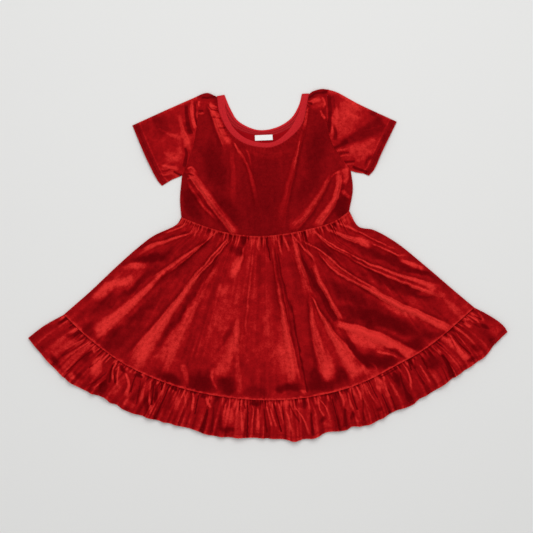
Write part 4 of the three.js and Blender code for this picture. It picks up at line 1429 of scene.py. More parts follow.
@dataclass(frozen=True)
class Skirt:
    """The gathered skirt: a front panel with its folds over a back panel that rests on the surface."""

    gathers: int = 38
    steps: int = 12
    rows: int = 96
    edge_share: float = 0.014
    edge_count: int = 5
    back_columns: int = 151
    back_rows: int = 61
    gather_height: float = 3.0
    gather_reach: float = 30.0
    deepest: float = -1.2
    gather_power: float = 1.4
    gather_wander: float = 0.25
    streak_height: float = 0.3
    soft_height: float = 0.6
    seam_ridge: float = 1.5
    seam_width: float = 2.6
    # How bright the painted colour is on average and how much each thing adds: the streaks, softness and crushing
    # are the pile's own uneven tone, while the folds, gathers and seams add painted highlights and shade, and the
    # shade is painted shade just below the waist seam
    mean_nap: float = 0.34
    fold_shading: float = 1.2
    streak_nap: float = 0.14
    soft_nap: float = 0.15
    crush_nap: float = 0.13
    gather_shading: float = 0.14
    seam_shading: float = 0.86
    shade_nap: float = 0.18
    shade: Place = (3.6, 1.3)
    # The painted highlight along each seam's ridge: where it eases in, how far it wanders and how much its knots
    # change it
    waist_line: Place = (2.7, 1.1)
    waist_wander: float = 0.8
    waist_knots: Place = (0.45, 0.55)
    lower_line: Place = (3.5, 1.5)
    lower_wander: float = 1.1
    lower_knots: Place = (0.6, 0.4)
    # How much of the front's folds' painted highlights and shade the back shows
    back_fold_shading: float = 0.5
    tucks: Tucks = Tucks(84, 9, 6.0, 26.0, 2.5, 0.9)
    pleat_noise: Noise = Noise(40, 1 / 30, 3)
    streaks: Noise = Noise(150, 1 / 45, 5)
    softness: Noise = Noise(45, 1 / 60, 6)
    crushing: Noise = Noise(1 / 8, 1 / 8, 7)
    knots: Noise = Noise(240, 0, 8)
    wandering: Noise = Noise(130, 0, 9)
    back_lift: Noise = Noise(40, 3, 11)
    back_crushing: Noise = Noise(1 / 12, 1 / 12, 12)

    def panel(self) -> Panel:
        """The skirt's panel between its two seams and its two sides."""
        return Panel(WAIST_SEAM.shifted(-SEAM_GAP), RUFFLE_SEAM.at, LEFT_SKIRT_SIDE.at, RIGHT_SKIRT_SIDE.at)

    def front(self) -> Surface:
        """The front panel.

        Its height is the sum of the gathers, which fade below the waist, the placed folds, a low
        wrinkling and the two seam ridges. Painted highlights and shade show the same things, over the pile's own
        uneven tone.

        Returns:
            The closed surface.
        """
        across = np.linspace(0.0, 1.0, self.gathers * self.steps + 1)
        down = edge_rows(self.rows, self.edge_share, self.edge_count)
        panel = self.panel()
        places = panel.places(uneven(across), down)
        lengths = panel.lengths(uneven(across))[None]
        below, above = down[:, None] * lengths, (1.0 - down[:, None]) * lengths
        share = across[None]
        wander = self.gather_wander * self.pleat_noise.over(share, below)
        pleat = crest(self.gathers * share + wander) ** self.gather_power
        fade = np.exp(-below / (self.gather_reach * strength(1.0 - share)))
        streak, soft = self.streaks.over(share, below), self.softness.over(share, below)
        fold_height, fold_shading = worked(places, SKIRT_FOLDS, SKIRT_SHADING_PATCHES)
        self.tucks.add_to(share * WAIST_SEAM.length, below, fold_height, fold_shading)
        height = self.gather_height * strength(share) * pleat * fade
        height = height + self.streak_height * (streak + 1.0) + self.soft_height * (soft + 1.0)
        height = height + np.maximum(fold_height, self.deepest)
        height = height + self.seam_ridge * (bell(below, 0.0, self.seam_width) + bell(above, 0.0, self.seam_width))
        # The folds' painted highlights and shade, and painted highlights on the gathers' crests with painted shade
        # between them, over the pile's own streaky, soft and crushed tone
        nap = self.mean_nap + self.fold_shading * fold_shading + self.streak_nap * streak + self.soft_nap * soft
        nap = nap + self.crush_nap * self.crushing.on(places) + self.gather_shading * (pleat - 0.5) * fade
        # Painted highlights along the two seams' ridges, and painted shade just below the waist seam
        line = self._seam_highlights(share, below, above)
        nap = nap * (1.0 - line) + self.seam_shading * line - self.shade_nap * bell(below, *self.shade)
        return closed_wall(raised(places, FRONT_TOP + np.maximum(height, 0.0)), nap, FRONT_LOW)

    def _seam_highlights(self, share: Array, below: Array, above: Array) -> Array:
        """How much of the painted highlights along the two seams' knotted ridges shows.

        Args:
            share: Share across the panel.
            below: Distance below the waist seam.
            above: Distance above the ruffle's seam.

        Returns:
            The painted highlights' share, from 0 to 1.
        """
        knot = 0.5 + 0.5 * self.knots.over(share, below)
        wander = self.wandering.over(share, below)
        waist = smooth_step(*self.waist_line, below + self.waist_wander * wander)
        lower = smooth_step(*self.lower_line, above + self.lower_wander * wander)
        waist = waist * (self.waist_knots[0] + self.waist_knots[1] * knot)
        return waist + lower * (self.lower_knots[0] + self.lower_knots[1] * knot)

    def back(self) -> Surface:
        """The back panel, flat on the surface with low wrinkles, and painted with the mirrored highlights and shade
        of some of the front's folds, without their height.

        Returns:
            The closed surface.
        """
        across, down = np.linspace(0.0, 1.0, self.back_columns), np.linspace(0.0, 1.0, self.back_rows)
        places = self.panel().places(across, down)
        # Only the folds' painted highlights and shade are kept; their height is dropped
        _, nap = worked(places * np.array([-1.0, 1.0]), SKIRT_FOLDS[BACK_FOLDS], ())
        lift = BACK_LIFT * (1.0 + self.back_lift.over(across[None], down[:, None]))
        nap = BACK_NAP + self.back_fold_shading * nap + BACK_CRUSHING * self.back_crushing.on(places)
        return closed_wall(raised(places, CLOTH + lift), nap, 0.0)


@dataclass
class Ruffle:
    """The gathered ruffle: small gathers at its seam join into larger waves at its hem."""

    waves: int = 28
    steps: int = 31
    rows: int = 44
    edge_share: float = 0.06
    edge_count: int = 5
    back_waves: int = 20
    back_columns: int = 321
    back_rows: int = 25
    seam_height: float = 2.6
    hem_height: float = 6.2
    back_lift: float = 2.4
    tip_share: float = 0.12
    tip_height: float = 0.35
    scallop: float = 0.8
    unevenness: float = 0.4
    sway: float = 0.22
    gather_power: float = 1.5
    wave_power: float = 0.85
    streak_height: float = 0.25
    broad_height: float = 0.5
    hem_width: float = 5.5
    groove_width: float = 0.9
    groove_depth: float = 0.5
    # How bright the painted colour is on average and how much each thing adds: the streaks and broad patches are
    # the cloth's own uneven tone, while the folds, waves and gathers add painted highlights and shade, the hem's
    # groove and the seam add painted shade, the hem's rim a painted highlight, and the back ruffle's waves painted
    # highlights and shade
    mean_nap: float = 0.41
    fold_shading: float = 1.3
    mean_wave: float = 0.4
    wave_shading: float = 0.2
    gather_shading: float = 0.14
    streak_nap: float = 0.32
    broad_nap: float = 0.17
    groove_shade: float = 0.2
    rim_shading: float = 0.3
    rim: Place = (1.9, 0.6)
    seam_shading: float = 0.5
    seam_width: float = 2.4
    back_wave_shading: float = 0.25
    back_streak_nap: float = 0.2
    tucks: Tucks = Tucks(170, 26, 5.0, 24.0, 2.0, 0.7)
    swaying: Noise = Noise(45, 2.0, 21)
    streaks: Noise = Noise(270, 1.2, 23)
    broadness: Noise = Noise(120, 1.6, 24)
    back_streaks: Noise = Noise(200, 1.6, 31)
    stitch_lines: list[Array] = field(default_factory=list)

    def panel(self) -> Panel:
        """The ruffle's panel from its seam to its hem."""
        return Panel(RUFFLE_SEAM.shifted(-SEAM_GAP), HEM.at, LEFT_RUFFLE_TIP.at, RIGHT_RUFFLE_TIP.at)

    def tip_fade(self, share: Array) -> Array:
        """Lower waves towards the two tips."""
        inward = smooth_step(0.0, self.tip_share, np.minimum(share, 1.0 - share))
        return self.tip_height + (1.0 - self.tip_height) * inward

    def front(self) -> Surface:
        """The front ruffle, lying on the back one.

        Its height is the seam's gathers, which fade down, the hem's waves, which grow down, a ripple
        between the two and the deep gaps. It also gives the line of the hem's stitches.

        Returns:
            The closed surface.
        """
        across = np.linspace(0.0, 1.0, self.waves * self.steps + 1)
        down = edge_rows(self.rows, self.edge_share, self.edge_count)
        share, fall = across[None], down[:, None]
        panel = self.panel()
        places = panel.places(uneven(across), down)
        sway = self.sway * self.swaying.over(share, fall)
        hem_wave = crest(self.waves * share + 0.5 + sway) * strength(share) * self.tip_fade(share)
        gather = crest(2 * self.waves * share + sway) ** self.gather_power
        gather = gather * strength(1.0 - share) * self.tip_fade(share)
        places[..., 1] -= self.scallop * fall * hem_wave
        lengths = panel.lengths(uneven(across))[None]
        to_hem, from_seam = (1.0 - fall) * lengths, fall * lengths
        fold_height, fold_shading = worked(places, RUFFLE_FOLDS, RUFFLE_SHADING_PATCHES, self.unevenness)
        self.tucks.add_to(share * RUFFLE_SEAM.length, from_seam, fold_height, fold_shading)
        streak, broad = self.streaks.over(share, fall), self.broadness.over(share, fall)
        groove = bell(to_hem, self.hem_width, self.groove_width)
        height = self.seam_height * gather * (1.0 - fall) ** self.gather_power
        height = height + self.hem_height * hem_wave * fall ** self.wave_power
        height = height + self.streak_height * streak + self.broad_height * broad
        height = height + fold_height - self.groove_depth * groove
        # Painted highlights on the crests of the folds, waves and gathers and painted shade in their valleys,
        # painted shade in the hem's groove and just below the seam, and a painted highlight along the hem's rim,
        # over the cloth's own tone
        nap = self.mean_nap + self.fold_shading * fold_shading + self.wave_shading * (hem_wave - self.mean_wave) * fall
        nap = nap + self.gather_shading * (gather - self.mean_wave) * (1.0 - fall)
        nap = nap + self.streak_nap * streak + self.broad_nap * broad - self.groove_shade * groove
        nap = nap + self.rim_shading * smooth_step(*self.rim, to_hem)
        nap = nap - self.seam_shading * bell(from_seam, 0.0, self.seam_width)
        base = FRONT_LOW + self.back_lift * fall
        upper = raised(places, base + CLOTH + np.maximum(height, 0.0))
        self.stitch_lines = [line_on(upper, down, 1.0 - self.hem_width / lengths[0])]
        return closed_wall(upper, nap, base)

    def back(self) -> Surface:
        """The back ruffle, in low waves whose valleys rest on the surface.

        Returns:
            The closed surface.
        """
        across, down = np.linspace(0.0, 1.0, self.back_columns), np.linspace(0.0, 1.0, self.back_rows)
        share, fall = across[None], down[:, None]
        places = self.panel().places(uneven(across), down)
        wave = crest(self.back_waves * share + 0.5) * strength(share) * self.tip_fade(share)
        # Painted highlights on the waves' crests and painted shade in their valleys, over a streaky tone
        nap = BACK_NAP + self.back_wave_shading * (wave - self.mean_wave)
        nap = nap + self.back_streak_nap * self.back_streaks.over(share, fall)
        return closed_wall(raised(places, CLOTH + self.back_lift * fall * wave), nap, 0.0)


@dataclass(frozen=True)
class Bodice:
    """The bodice: a front panel with its folds over a back panel, both with the same armholes."""

    shoulder_steps: int = 3
    front_neck_steps: int = 34
    back_neck_steps: int = 26
    armhole_steps: int = 10
    side_steps: int = 5
    front_detail: tuple[int, int] = (6, 12)
    back_detail: tuple[int, int] = (4, 4)
    neck_puckers: int = 46
    pucker_wander: float = 0.3
    pucker_height: float = 0.8
    pucker_reach: float = 9.0
    pucker_shading_reach: float = 12.0
    soft_height: float = 0.35
    streak_height: float = 0.15
    # How bright the painted colour is on average and how much each thing adds: the streaks and softness are the
    # cloth's own uneven tone, while the folds and the puckers along the neck add painted highlights and shade; the
    # back's inside has its own even tone with a little crushing
    mean_nap: float = 0.15
    fold_shading: float = 1.12
    streak_nap: float = 0.05
    soft_nap: float = 0.05
    pucker_shading: float = 0.25
    mean_pucker: float = 0.3
    inside_nap: float = 0.4
    inside_crushing: float = 0.12
    inside_lift: float = 0.1
    pucker_noise: Noise = Noise(30, 9, 41)
    streaks: Noise = Noise(60, 5, 42)
    softness: Noise = Noise(1 / 26, 1 / 40, 43)
    back_crushing: Noise = Noise(1 / 14, 1 / 20, 51)
    back_lift: Noise = Noise(1 / 20, 1 / 30, 52)

    def grid(self, neck: Edge, neck_steps: int, detail: tuple[int, int]) -> tuple[Array, Array, Array]:
        """The bodice's panel below one of its two neck edges, as a grid.

        Args:
            neck: The neck edge.
            neck_steps: The share of the top that the neck takes, in steps.
            detail: Columns and rows for each step.

        Returns:
            The places, and the shares across and down.
        """
        shoulders, sides = self.shoulder_steps, self.armhole_steps + self.side_steps
        top = joined([(LEFT_SHOULDER, shoulders), (neck, neck_steps), (RIGHT_SHOULDER, shoulders)])
        left = joined([(LEFT_ARMHOLE, self.armhole_steps), (LEFT_SIDE, self.side_steps)])
        right = joined([(RIGHT_ARMHOLE, self.armhole_steps), (RIGHT_SIDE, self.side_steps)])
        across = np.linspace(0.0, 1.0, (neck_steps + 2 * shoulders) * detail[0] + 1)
        down = np.linspace(0.0, 1.0, sides * detail[1] + 1)
        return Panel(top, WAIST_SEAM.at, left, right).places(across, down), across[None], down[:, None]

    def front(self) -> Surface:
        """The front panel: the placed folds on a low wrinkling, puckered along the neck.

        Returns:
            The closed surface.
        """
        places, share, fall = self.grid(FRONT_NECK, self.front_neck_steps, self.front_detail)
        fold_height, fold_shading = worked(places, BODICE_FOLDS, BODICE_SHADING_PATCHES)
        to_neck, along_neck = self._distance(places, FRONT_NECK)
        wander = self.pucker_wander * self.pucker_noise.over(share, fall)
        pucker = crest(self.neck_puckers * along_neck + wander)
        pucker = pucker * np.exp(-to_neck / self.pucker_reach)
        streak, soft = self.streaks.over(share, fall), self.softness.on(places)
        height = self.pucker_height * pucker + self.soft_height * (soft + 1.0)
        height = height + self.streak_height * (streak + 1.0) + np.maximum(fold_height, 0.0)
        # The folds' painted highlights and shade, and painted highlights on the neck's puckers with painted shade
        # between them
        nap = self.mean_nap + self.fold_shading * fold_shading + self.streak_nap * streak + self.soft_nap * soft
        nap = nap + self.pucker_shading * (pucker - self.mean_pucker) * np.exp(-to_neck / self.pucker_shading_reach)
        return closed_wall(raised(places, FRONT_TOP + height), nap, FRONT_LOW)

    def back(self) -> Surface:
        """The back panel, flat on the surface.

        Returns:
            The closed surface.
        """
        places, _, _ = self.grid(BACK_NECK, self.back_neck_steps, self.back_detail)
        nap = self.inside_nap + self.inside_crushing * self.back_crushing.on(places)
        lift = self.inside_lift * (1.0 + self.back_lift.on(places))
        return closed_wall(raised(places, CLOTH + lift), nap, 0.0)

    @staticmethod
    def _distance(places: Array, edge: Edge) -> tuple[Array, Array]:
        """Distance to an edge, and the share along it, for a grid of places."""
        side, share = nearest_on_line(places.reshape(-1, 2), edge.at(np.linspace(0.0, 1.0, CURVE_STEPS)))
        return np.abs(side).reshape(places.shape[:-1]), share.reshape(places.shape[:-1])


@dataclass
class Sleeve:
    """A short sleeve as a flattened tube, open at the armhole and at the stitched cuff."""

    side: Side
    crown: float = 3.3
    roundness: float = 0.32
    cap_gathers: int = 9
    cap_height: float = 1.2
    cap_reach: float = 0.3
    cap_end: Place = (0.75, 0.3)
    soft_height: float = 0.5
    groove_depths: Place = (0.4, 0.3)
    # How bright the painted colour is on average and how much each thing adds: the softness, streaks and crushing
    # are the cloth's own uneven tone; the cap's gathers and the folded sides add painted highlights, the stitch
    # grooves painted shade, and the hem a darker face, a line of painted highlight inside it and a painted
    # highlight on the cuff's rim
    mean_nap: float = 0.36
    soft_nap: float = 0.1
    streak_nap: float = 0.08
    crush_nap: float = 0.09
    cap_highlight: float = 0.16
    groove_shades: Place = (0.4, 0.28)
    side_highlight: float = 0.25
    side_reach: float = 0.05
    face_nap: float = 0.2
    face_ease: float = 1.5
    inner_highlight: tuple[float, float, float] = (0.26, 1.7, 1.1)
    rim_shading: float = 0.35
    rim: Place = (1.9, 0.6)
    ring: int = 200
    stations: int = 90
    stitch_rows: tuple[float, float] = (5.0, 9.4)
    softness: Noise = Noise(1 / 16, 1 / 16, 61)
    streaks: Noise = Noise(30, 6, 62)
    crushing: Noise = Noise(1 / 6, 1 / 6, 63)
    stitch_lines: list[Array] = field(default_factory=list)

    def surface(self) -> Surface:
        """The sleeve's wall, which also gives the lines of its stitch rows.

        Each ring is a flat oval: its share across runs as a cosine and its height as a flattened sine,
        raised over the upper layer by the crown, the cap's gathers and the folds. The inner wall is
        the outer one moved in along its normals.

        Returns:
            The closed surface.
        """
        armhole, cuff, top, underarm, folds, shading_patches = SLEEVE_SHAPES[self.side]
        panel = Panel(armhole.shifted(self.side.value * SEAM_GAP), cuff.at, top.at, underarm.at)
        turn = CIRCLE * np.arange(self.ring) / self.ring
        across, along = 0.5 - 0.5 * np.cos(turn), np.linspace(0.0, 1.0, self.stations + 1)
        share, out = across[None], along[:, None]
        places, lengths = panel.places(across, along), panel.lengths(across)[None]
        fold_height, fold_shading = worked(places, folds, shading_patches)
        cap_fade = np.clip(1.0 - out / self.cap_reach, 0.0, 1.0)
        cap = self.cap_height * cap_fade * crest(self.cap_gathers * share) * smooth_step(*self.cap_end, share)
        soft = self.softness.on(places)
        to_cuff = (1.0 - out) * lengths
        grooves = [bell(to_cuff, row, 1.0) for row in self.stitch_rows]
        upper = (self.crown + cap + fold_height + self.soft_height * soft) * np.sin(math.pi * share)
        upper = FRONT_TOP + upper - sum(depth * groove for depth, groove in zip(self.groove_depths, grooves))
        lift = (np.sign(np.sin(turn)) * np.abs(np.sin(turn)) ** self.roundness)[None]
        height = BETWEEN + lift * np.where(lift > 0, upper - BETWEEN, BETWEEN)
        outer = raised(places, height)
        inner = outer + self.side.value * self._ring_normals(outer) * CLOTH
        upper_side = slice(3, self.ring // 2 - 2)
        self.stitch_lines = [
            line_on(outer[:, upper_side], along, 1.0 - row / lengths[0, upper_side]) for row in self.stitch_rows
        ]
        crush = self.crushing.on(places)
        # The folds' painted highlights and shade and a painted highlight on the cap's gathers, over the cloth's own
        # tone
        nap = self.mean_nap + fold_shading + self.soft_nap * soft + self.streak_nap * self.streaks.over(share, out)
        nap = nap + self.crush_nap * crush + self.cap_highlight * cap
        # Painted shade in the two stitch grooves, with the hem's painted highlights
        painted_shade = sum(share_lost * groove for share_lost, groove in zip(self.groove_shades, grooves))
        nap = nap - painted_shade * (1.0 + 0.5 * crush) + self._hem_shading(to_cuff)
        # A painted highlight along the sleeve's two folded sides
        nap = nap + self.side_highlight * smooth_step(self.side_reach, 0.0, np.minimum(share, 1.0 - share))
        return self._close(outer, inner, nap, flip=self.side is Side.LEFT)

    def _hem_shading(self, to_cuff: Array) -> Array:
        """The darker face of the hem, a painted highlight along a line inside it and a painted highlight on the
        cuff's rim.
        """
        inner_row = self.stitch_rows[1]
        face = smooth_step(inner_row, inner_row - self.face_ease, to_cuff)
        highlight_strength, line_away, line_width = self.inner_highlight
        line = highlight_strength * bell(to_cuff, inner_row + line_away, line_width)
        return line + self.rim_shading * smooth_step(*self.rim, to_cuff) - self.face_nap * face

    @staticmethod
    def _ring_normals(rings: Array) -> Array:
        """Unit normals of rings that close on themselves."""
        round_ring = np.roll(rings, -1, axis=1) - np.roll(rings, 1, axis=1)
        return unit(np.cross(np.gradient(rings, axis=0), round_ring))

    @staticmethod
    def _close(outer: Array, inner: Array, nap: Array, flip: bool) -> Surface:
        """Join the outer and inner rings at the armhole and at the cuff."""
        points, number, within = two_layers(outer, inner)
        faces = [
            wrapped_quads(number, flip), wrapped_quads(within, not flip),
            wrapped_quads(np.stack([within[0], number[0]]), flip),
            wrapped_quads(np.stack([number[-1], within[-1]]), flip),
        ]
        return Surface(points, np.concatenate(faces), np.tile(limited(nap).ravel(), 2))


@dataclass(frozen=True)
class NeckBand:
    """The folded rib band round the neck: a loop over the front, round the shoulders and along the back."""

    roll: float = 0.5
    front_steps: int = 240
    back_steps: int = 200
    turn_steps: int = 12
    section: int = 40
    strip_width: float = 0.012
    side_power: float = 0.6
    face_power: float = 0.45
    # How bright the rib is painted: even over the front and a little lower over the back's inside, with a painted
    # highlight along the back's free edge and dark stitch rows; the back's seam side is darker, its own tone and
    # partly painted shade, and both strips get painted shade along the seam's rim
    front_nap: float = 0.62
    inside_nap: float = 0.54
    free_highlight: float = 0.16
    free_side: Place = (0.68, 0.8)
    row_nap: float = 0.3
    row_width: float = 0.07
    seam_shading: float = 0.12
    seam_side: Place = (0.3, 0.2)
    rim_shading: float = 0.18
    rim: Place = (0.1, 0.02)
    stitch_rows: tuple[float, float] = (0.34, 0.66)
    stitch_ends: tuple[float, float] = (0.02, 0.98)
    stitch_points: int = 80

    def stitch_lines(self) -> list[Array]:
        """The lines of the two rows of topstitching along the back strip."""
        shares = np.linspace(*self.stitch_ends, self.stitch_points)
        seam, free = BACK_NECK.at(shares, SEAM_GAP), BACK_BAND_EDGE.at(shares)
        height = np.full(len(shares), BACK_TOP)
        return [raised(seam * (1.0 - row) + free * row, height) for row in self.stitch_rows]

    def surface(self) -> Surface:
        """The band's closed loop.

        Each section is a flattened oval as wide as the band and as thick as the cloth. It lies over
        the front, turns half round at each shoulder and lies below along the back.

        Returns:
            The closed surface, with cloth coordinates in metres along and across the strip.
        """
        front, back = np.linspace(0.0, 1.0, self.front_steps), np.linspace(1.0, 0.0, self.back_steps)
        turns = np.linspace(0.0, math.pi, self.turn_steps)[1:-1]
        first, last = np.zeros(len(turns)), np.ones(len(turns))
        edges = (
            (FRONT_NECK.shifted(SEAM_GAP), BACK_NECK.shifted(SEAM_GAP)),
            (FRONT_BAND_EDGE.at, BACK_BAND_EDGE.at),
        )
        seam, free = (
            np.concatenate([over(front), over(last), under(back), over(first)]) for over, under in edges
        )
        turn = np.concatenate([0.0 * front, turns, math.pi + 0.0 * back, turns[::-1]])[:, None]
        angle = CIRCLE * np.arange(self.section)[None] / self.section
        share = 0.5 - 0.5 * np.sign(np.cos(angle)) * np.abs(np.cos(angle)) ** self.side_power
        level = np.sign(np.sin(angle)) * np.abs(np.sin(angle)) ** self.face_power
        crown = self.roll * np.maximum(np.cos(turn), 0.0) * np.sin(math.pi * share) * (level > 0)
        radius = FRONT_LOW - BETWEEN + CLOTH / 2 * (1.0 + level)
        flat = seam[:, None] * (1.0 - share[..., None]) + free[:, None] * share[..., None]
        height = BETWEEN + np.cos(turn) * radius + crown
        points = np.stack([flat[..., 0] + 0.0 * turn, flat[..., 1] + np.sin(turn) * radius, height], axis=-1)
        length = lengths_along((seam + free) / 2)[:, None] * MM
        uv = np.stack(np.broadcast_arrays(length, share * self.strip_width), axis=-1)
        number = np.arange(points.shape[0] * self.section).reshape(-1, self.section)
        faces = wrapped_quads(np.concatenate([number, number[:1]]), True)
        return Surface(points.reshape(-1, 3), faces, self._rib_shading(turn, share).ravel(), uv.reshape(-1, 2))

    def _rib_shading(self, turn: Array, share: Array) -> Array:
        """How light the rib is painted: even over the front, and along the back's inside with dark stitch rows, a
        painted highlight on its free edge and painted shade towards its seam; both strips have painted shade along
        the seam's rim.

        Args:
            turn: How far the band is turned over, from 0 at the front to half a circle at the back.
            share: Share across the band, from its seam.

        Returns:
            The rib's painted tone and shading.
        """
        below = 0.5 - 0.5 * np.cos(turn)
        rows = sum(bell(share, row, self.row_width) for row in self.stitch_rows)
        inside = self.inside_nap + self.free_highlight * smooth_step(*self.free_side, share) - self.row_nap * rows
        inside = inside - self.seam_shading * smooth_step(*self.seam_side, share)
        return self.front_nap * (1.0 - below) + inside * below - self.rim_shading * smooth_step(*self.rim, share)


@dataclass(frozen=True)
class NeckLabel:
    """The small white woven label on the inside of the back, left bare."""

    length: float = 26.4
    width: float = 8.1
    centre: Place = (-6.0, 190.1)
    tilt: float = 2.4
    lift: float = 0.15
    wave: float = 0.12
    wave_length: float = 5.0
    wave_start: float = 0.4
    columns: int = 55
    rows: int = 17

    def surface(self) -> Surface:
        """A soft tape with a low wave along its length.

        Returns:
            The closed surface.
        """
        along = np.linspace(-0.5, 0.5, self.columns)[None] * self.length
        down = np.linspace(0.5, -0.5, self.rows)[:, None] * self.width
        turn = math.radians(self.tilt)
        x = self.centre[0] + along * math.cos(turn) - down * math.sin(turn)
        y = self.centre[1] + along * math.sin(turn) + down * math.cos(turn)
        wave = self.wave * np.sin(along / self.wave_length + self.wave_start)
        height = FRONT_TOP + self.lift + wave + 0.0 * y
        return closed_wall(np.stack([x, y, height], axis=-1), np.full(x.shape, 0.5), FRONT_LOW)


@dataclass(frozen=True)
class Stitches:
    """Rows of short stitches along lines on the cloth, each a small capsule of a few rings."""

    length: float = 2.2
    gap: float = 0.9
    radius: float = 0.22
    ring: int = 6
    ring_shares: tuple[float, ...] = (0.35, 0.9, 1.0, 0.9, 0.35)
    arch: float = 0.25
    nap: float = 0.5

    def surface(self, lines: list[Array]) -> Surface:
        """The stitches of every line, as one surface.

        Args:
            lines: Points of each row in millimetres, in order.

        Returns:
            The joined stitches.
        """
        rows = [self._row(line) for line in lines]
        starts = np.cumsum([0] + [len(row.points) for row in rows[:-1]])
        faces = np.concatenate([row.faces + start for row, start in zip(rows, starts)])
        points = np.concatenate([row.points for row in rows])
        return Surface(points, faces, np.full(len(points), self.nap))

    def _row(self, path: Array) -> Surface:
        """One row: each stitch dips into the cloth at both ends.

        Args:
            path: Points of the row in millimetres, in order.

        Returns:
            The row's stitches.
        """
        lengths = lengths_along(path)
        count = int(lengths[-1] // (self.length + self.gap))
        shares = np.linspace(0.0, 1.0, len(self.ring_shares))
        where = (np.arange(count) * (self.length + self.gap))[:, None] + shares[None] * self.length
        spine = interpolated(where, lengths, path)
        tangent = unit(np.gradient(spine, axis=1))
        side = unit(np.cross(tangent, np.array([0.0, 0.0, 1.0])))
        up = np.cross(side, tangent)
        bulge = self.radius * np.array(self.ring_shares)[None, :, None, None]
        spine = spine + up * (self.arch * np.sin(math.pi * shares))[None, :, None] * self.radius
        angle = CIRCLE * np.arange(self.ring) / self.ring
        circle = side[:, :, None] * np.cos(angle)[:, None] + up[:, :, None] * np.sin(angle)[:, None]
        points = (spine[:, :, None] + circle * bulge).reshape(-1, 3)
        number = np.arange(len(points)).reshape(count, len(shares), self.ring)
        after = np.roll(number, -1, axis=2)
        body = np.stack([number[:, :-1], after[:, :-1], after[:, 1:], number[:, 1:]], axis=-1).reshape(-1, 4)
        corners = range(1, self.ring - 1, 2)
        caps = [number[:, 0][:, [0, low + 2, low + 1, low]] for low in corners]
        caps += [number[:, -1][:, [0, low, low + 1, low + 2]] for low in corners]
        return Surface(points, np.concatenate([body, *caps])[:, ::-1], np.full(len(points), self.nap))


@dataclass(frozen=True)
class Studio:
    """The plain floor, the soft lights and the camera straight above."""

    view_width: float = 0.7995
    camera_height: float = 2.6
    sensor_width: float = 36.0
    centre: Place = (-1.9, -3.0)
    floor_half: float = 3.0
    floor_height: float = -0.0004
    floor_colour: Colour = (0.80, 0.80, 0.79, 1.0)
    sky_strength: float = 0.44

    def build(self) -> None:
        """Make the floor, the lights, the world and the camera."""
        self._floor()
        for light in LIGHTS:
            self._light(*light)
        world = bpy.data.worlds.new("studio")
        world.use_nodes = True
        sky = world.node_tree.nodes["Background"].inputs
        sky["Color"].default_value = (1.0, 1.0, 1.0, 1.0)
        sky["Strength"].default_value = self.sky_strength
        bpy.context.scene.world = world
        bpy.context.scene.view_settings.view_transform = "Standard"
        self._camera()

    def _floor(self) -> None:
        """A wide plain pale floor just below the dress."""
        mesh = bpy.data.meshes.new("floor")
        ways = ((-1, -1), (1, -1), (1, 1), (-1, 1))
        corners = [(x * self.floor_half, y * self.floor_half, self.floor_height) for x, y in ways]
        mesh.from_pydata(corners, [], [tuple(range(len(corners)))])
        floor = bpy.data.objects.new("floor", mesh)
        bpy.context.scene.collection.objects.link(floor)
        mesh.materials.append(plain_material("pale_floor", MATTE | {"Base Color": self.floor_colour})[0])

    def _light(self, name: str, place: tuple[float, float, float], size: float, power: float) -> None:
        """A square area light aimed at the dress.

        Args:
            name: Name of the light.
            place: Its position in metres.
            size: The length of its side in metres.
            power: Its power in watts.
        """
        data = bpy.data.lights.new(name, "AREA")
        data.shape, data.size, data.energy = "SQUARE", size, power
        light = bpy.data.objects.new(name, data)
        light.location = place
        light.rotation_euler = (-light.location).to_track_quat("-Z", "Y").to_euler()
        bpy.context.scene.collection.objects.link(light)

    def _camera(self) -> None:
        """A long lens straight above, whose view is as wide as the picture is at the dress."""
        data = bpy.data.cameras.new("camera")
        data.sensor_width = self.sensor_width
        data.lens = self.sensor_width * self.camera_height / self.view_width
        camera = bpy.data.objects.new("camera", data)
        camera.location = (self.centre[0] * MM, self.centre[1] * MM, self.camera_height)
        bpy.context.scene.collection.objects.link(camera)
        bpy.context.scene.camera = camera


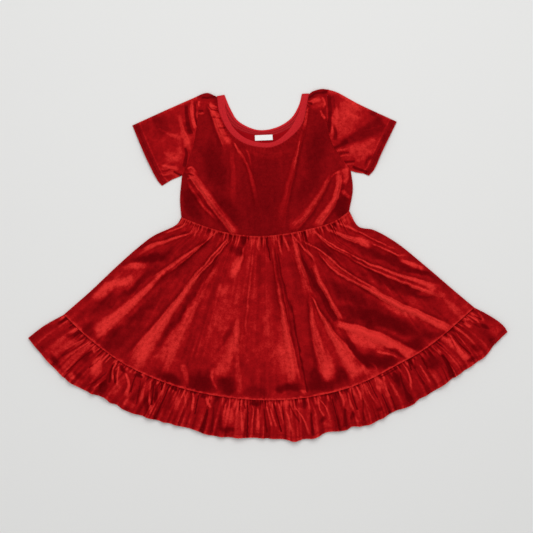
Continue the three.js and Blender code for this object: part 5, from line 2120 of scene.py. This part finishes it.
@dataclass(frozen=True)
class Dress:
    """The whole dress, built from its sub-assemblies."""

    finishes: Finishes

    def build(self) -> None:
        """Build every piece."""
        skirt, ruffle, bodice, band = Skirt(), Ruffle(), Bodice(), NeckBand()
        velvet, back, inside = self.finishes.velvet, self.finishes.back_velvet, self.finishes.inside
        below = self._cloth("skirt_back", skirt.back(), back)
        self._cloth("skirt_front", skirt.front(), velvet)
        below = self._cloth("ruffle_back", ruffle.back(), back)
        self._cloth("ruffle_front", ruffle.front(), velvet, ruffle.stitch_lines)
        below = self._cloth("bodice_back", bodice.back(), inside, outside=back)
        self._cloth("bodice_front", bodice.front(), velvet)
        for side in Side:
            name, sleeve = f"sleeve_{side.name.lower()}", Sleeve(side)
            surface = sleeve.surface()
            self._cloth(name, surface, velvet, stitch_lines=sleeve.stitch_lines)
        self._cloth(
            "neck_band", band.surface(), self.finishes.rib, band.stitch_lines(),
            slot=Slot.NECK_RIB, ending="rib",
        )
        tape = NeckLabel().surface()
        self._cloth("neck_label", tape, self.finishes.tape, slot=Slot.LABEL, ending="tape")

    def _cloth(
        self, node: str, surface: Surface, material: bpy.types.Material,
        stitch_lines: list[Array] | None = None, *, slot: Slot = Slot.VELVET,
        outside: bpy.types.Material | None = None, ending: str = "cloth",
    ) -> bpy.types.Object:
        """Make a cloth piece, and its stitches where it has any.

        Args:
            node: The solid that it stands for.
            surface: Its surface.
            material: Its finish.
            stitch_lines: The lines that its stitches follow.
            slot: The material slot.
            outside: The finish of its lower side, where that is the outside of the dress.
            ending: The last part of its name.

        Returns:
            The new object.
        """
        finishes = [material, outside] if outside else [material]
        piece = make_piece(f"{node}_{ending}", surface, node, slot, *finishes)
        sewn = []
        if stitch_lines:
            rows = Stitches().surface(stitch_lines)
            sewn = [make_piece(f"{node}_stitches", rows, None, slot, self.finishes.thread)]
        return piece


def main() -> None:
    """Build the studio and the dress."""
    logging.basicConfig(level=logging.INFO, format="%(message)s")
    Studio().build()
    Dress(Finishes.build()).build()
    LOG.info("sizes written")


if __name__ == "__main__":
    main()
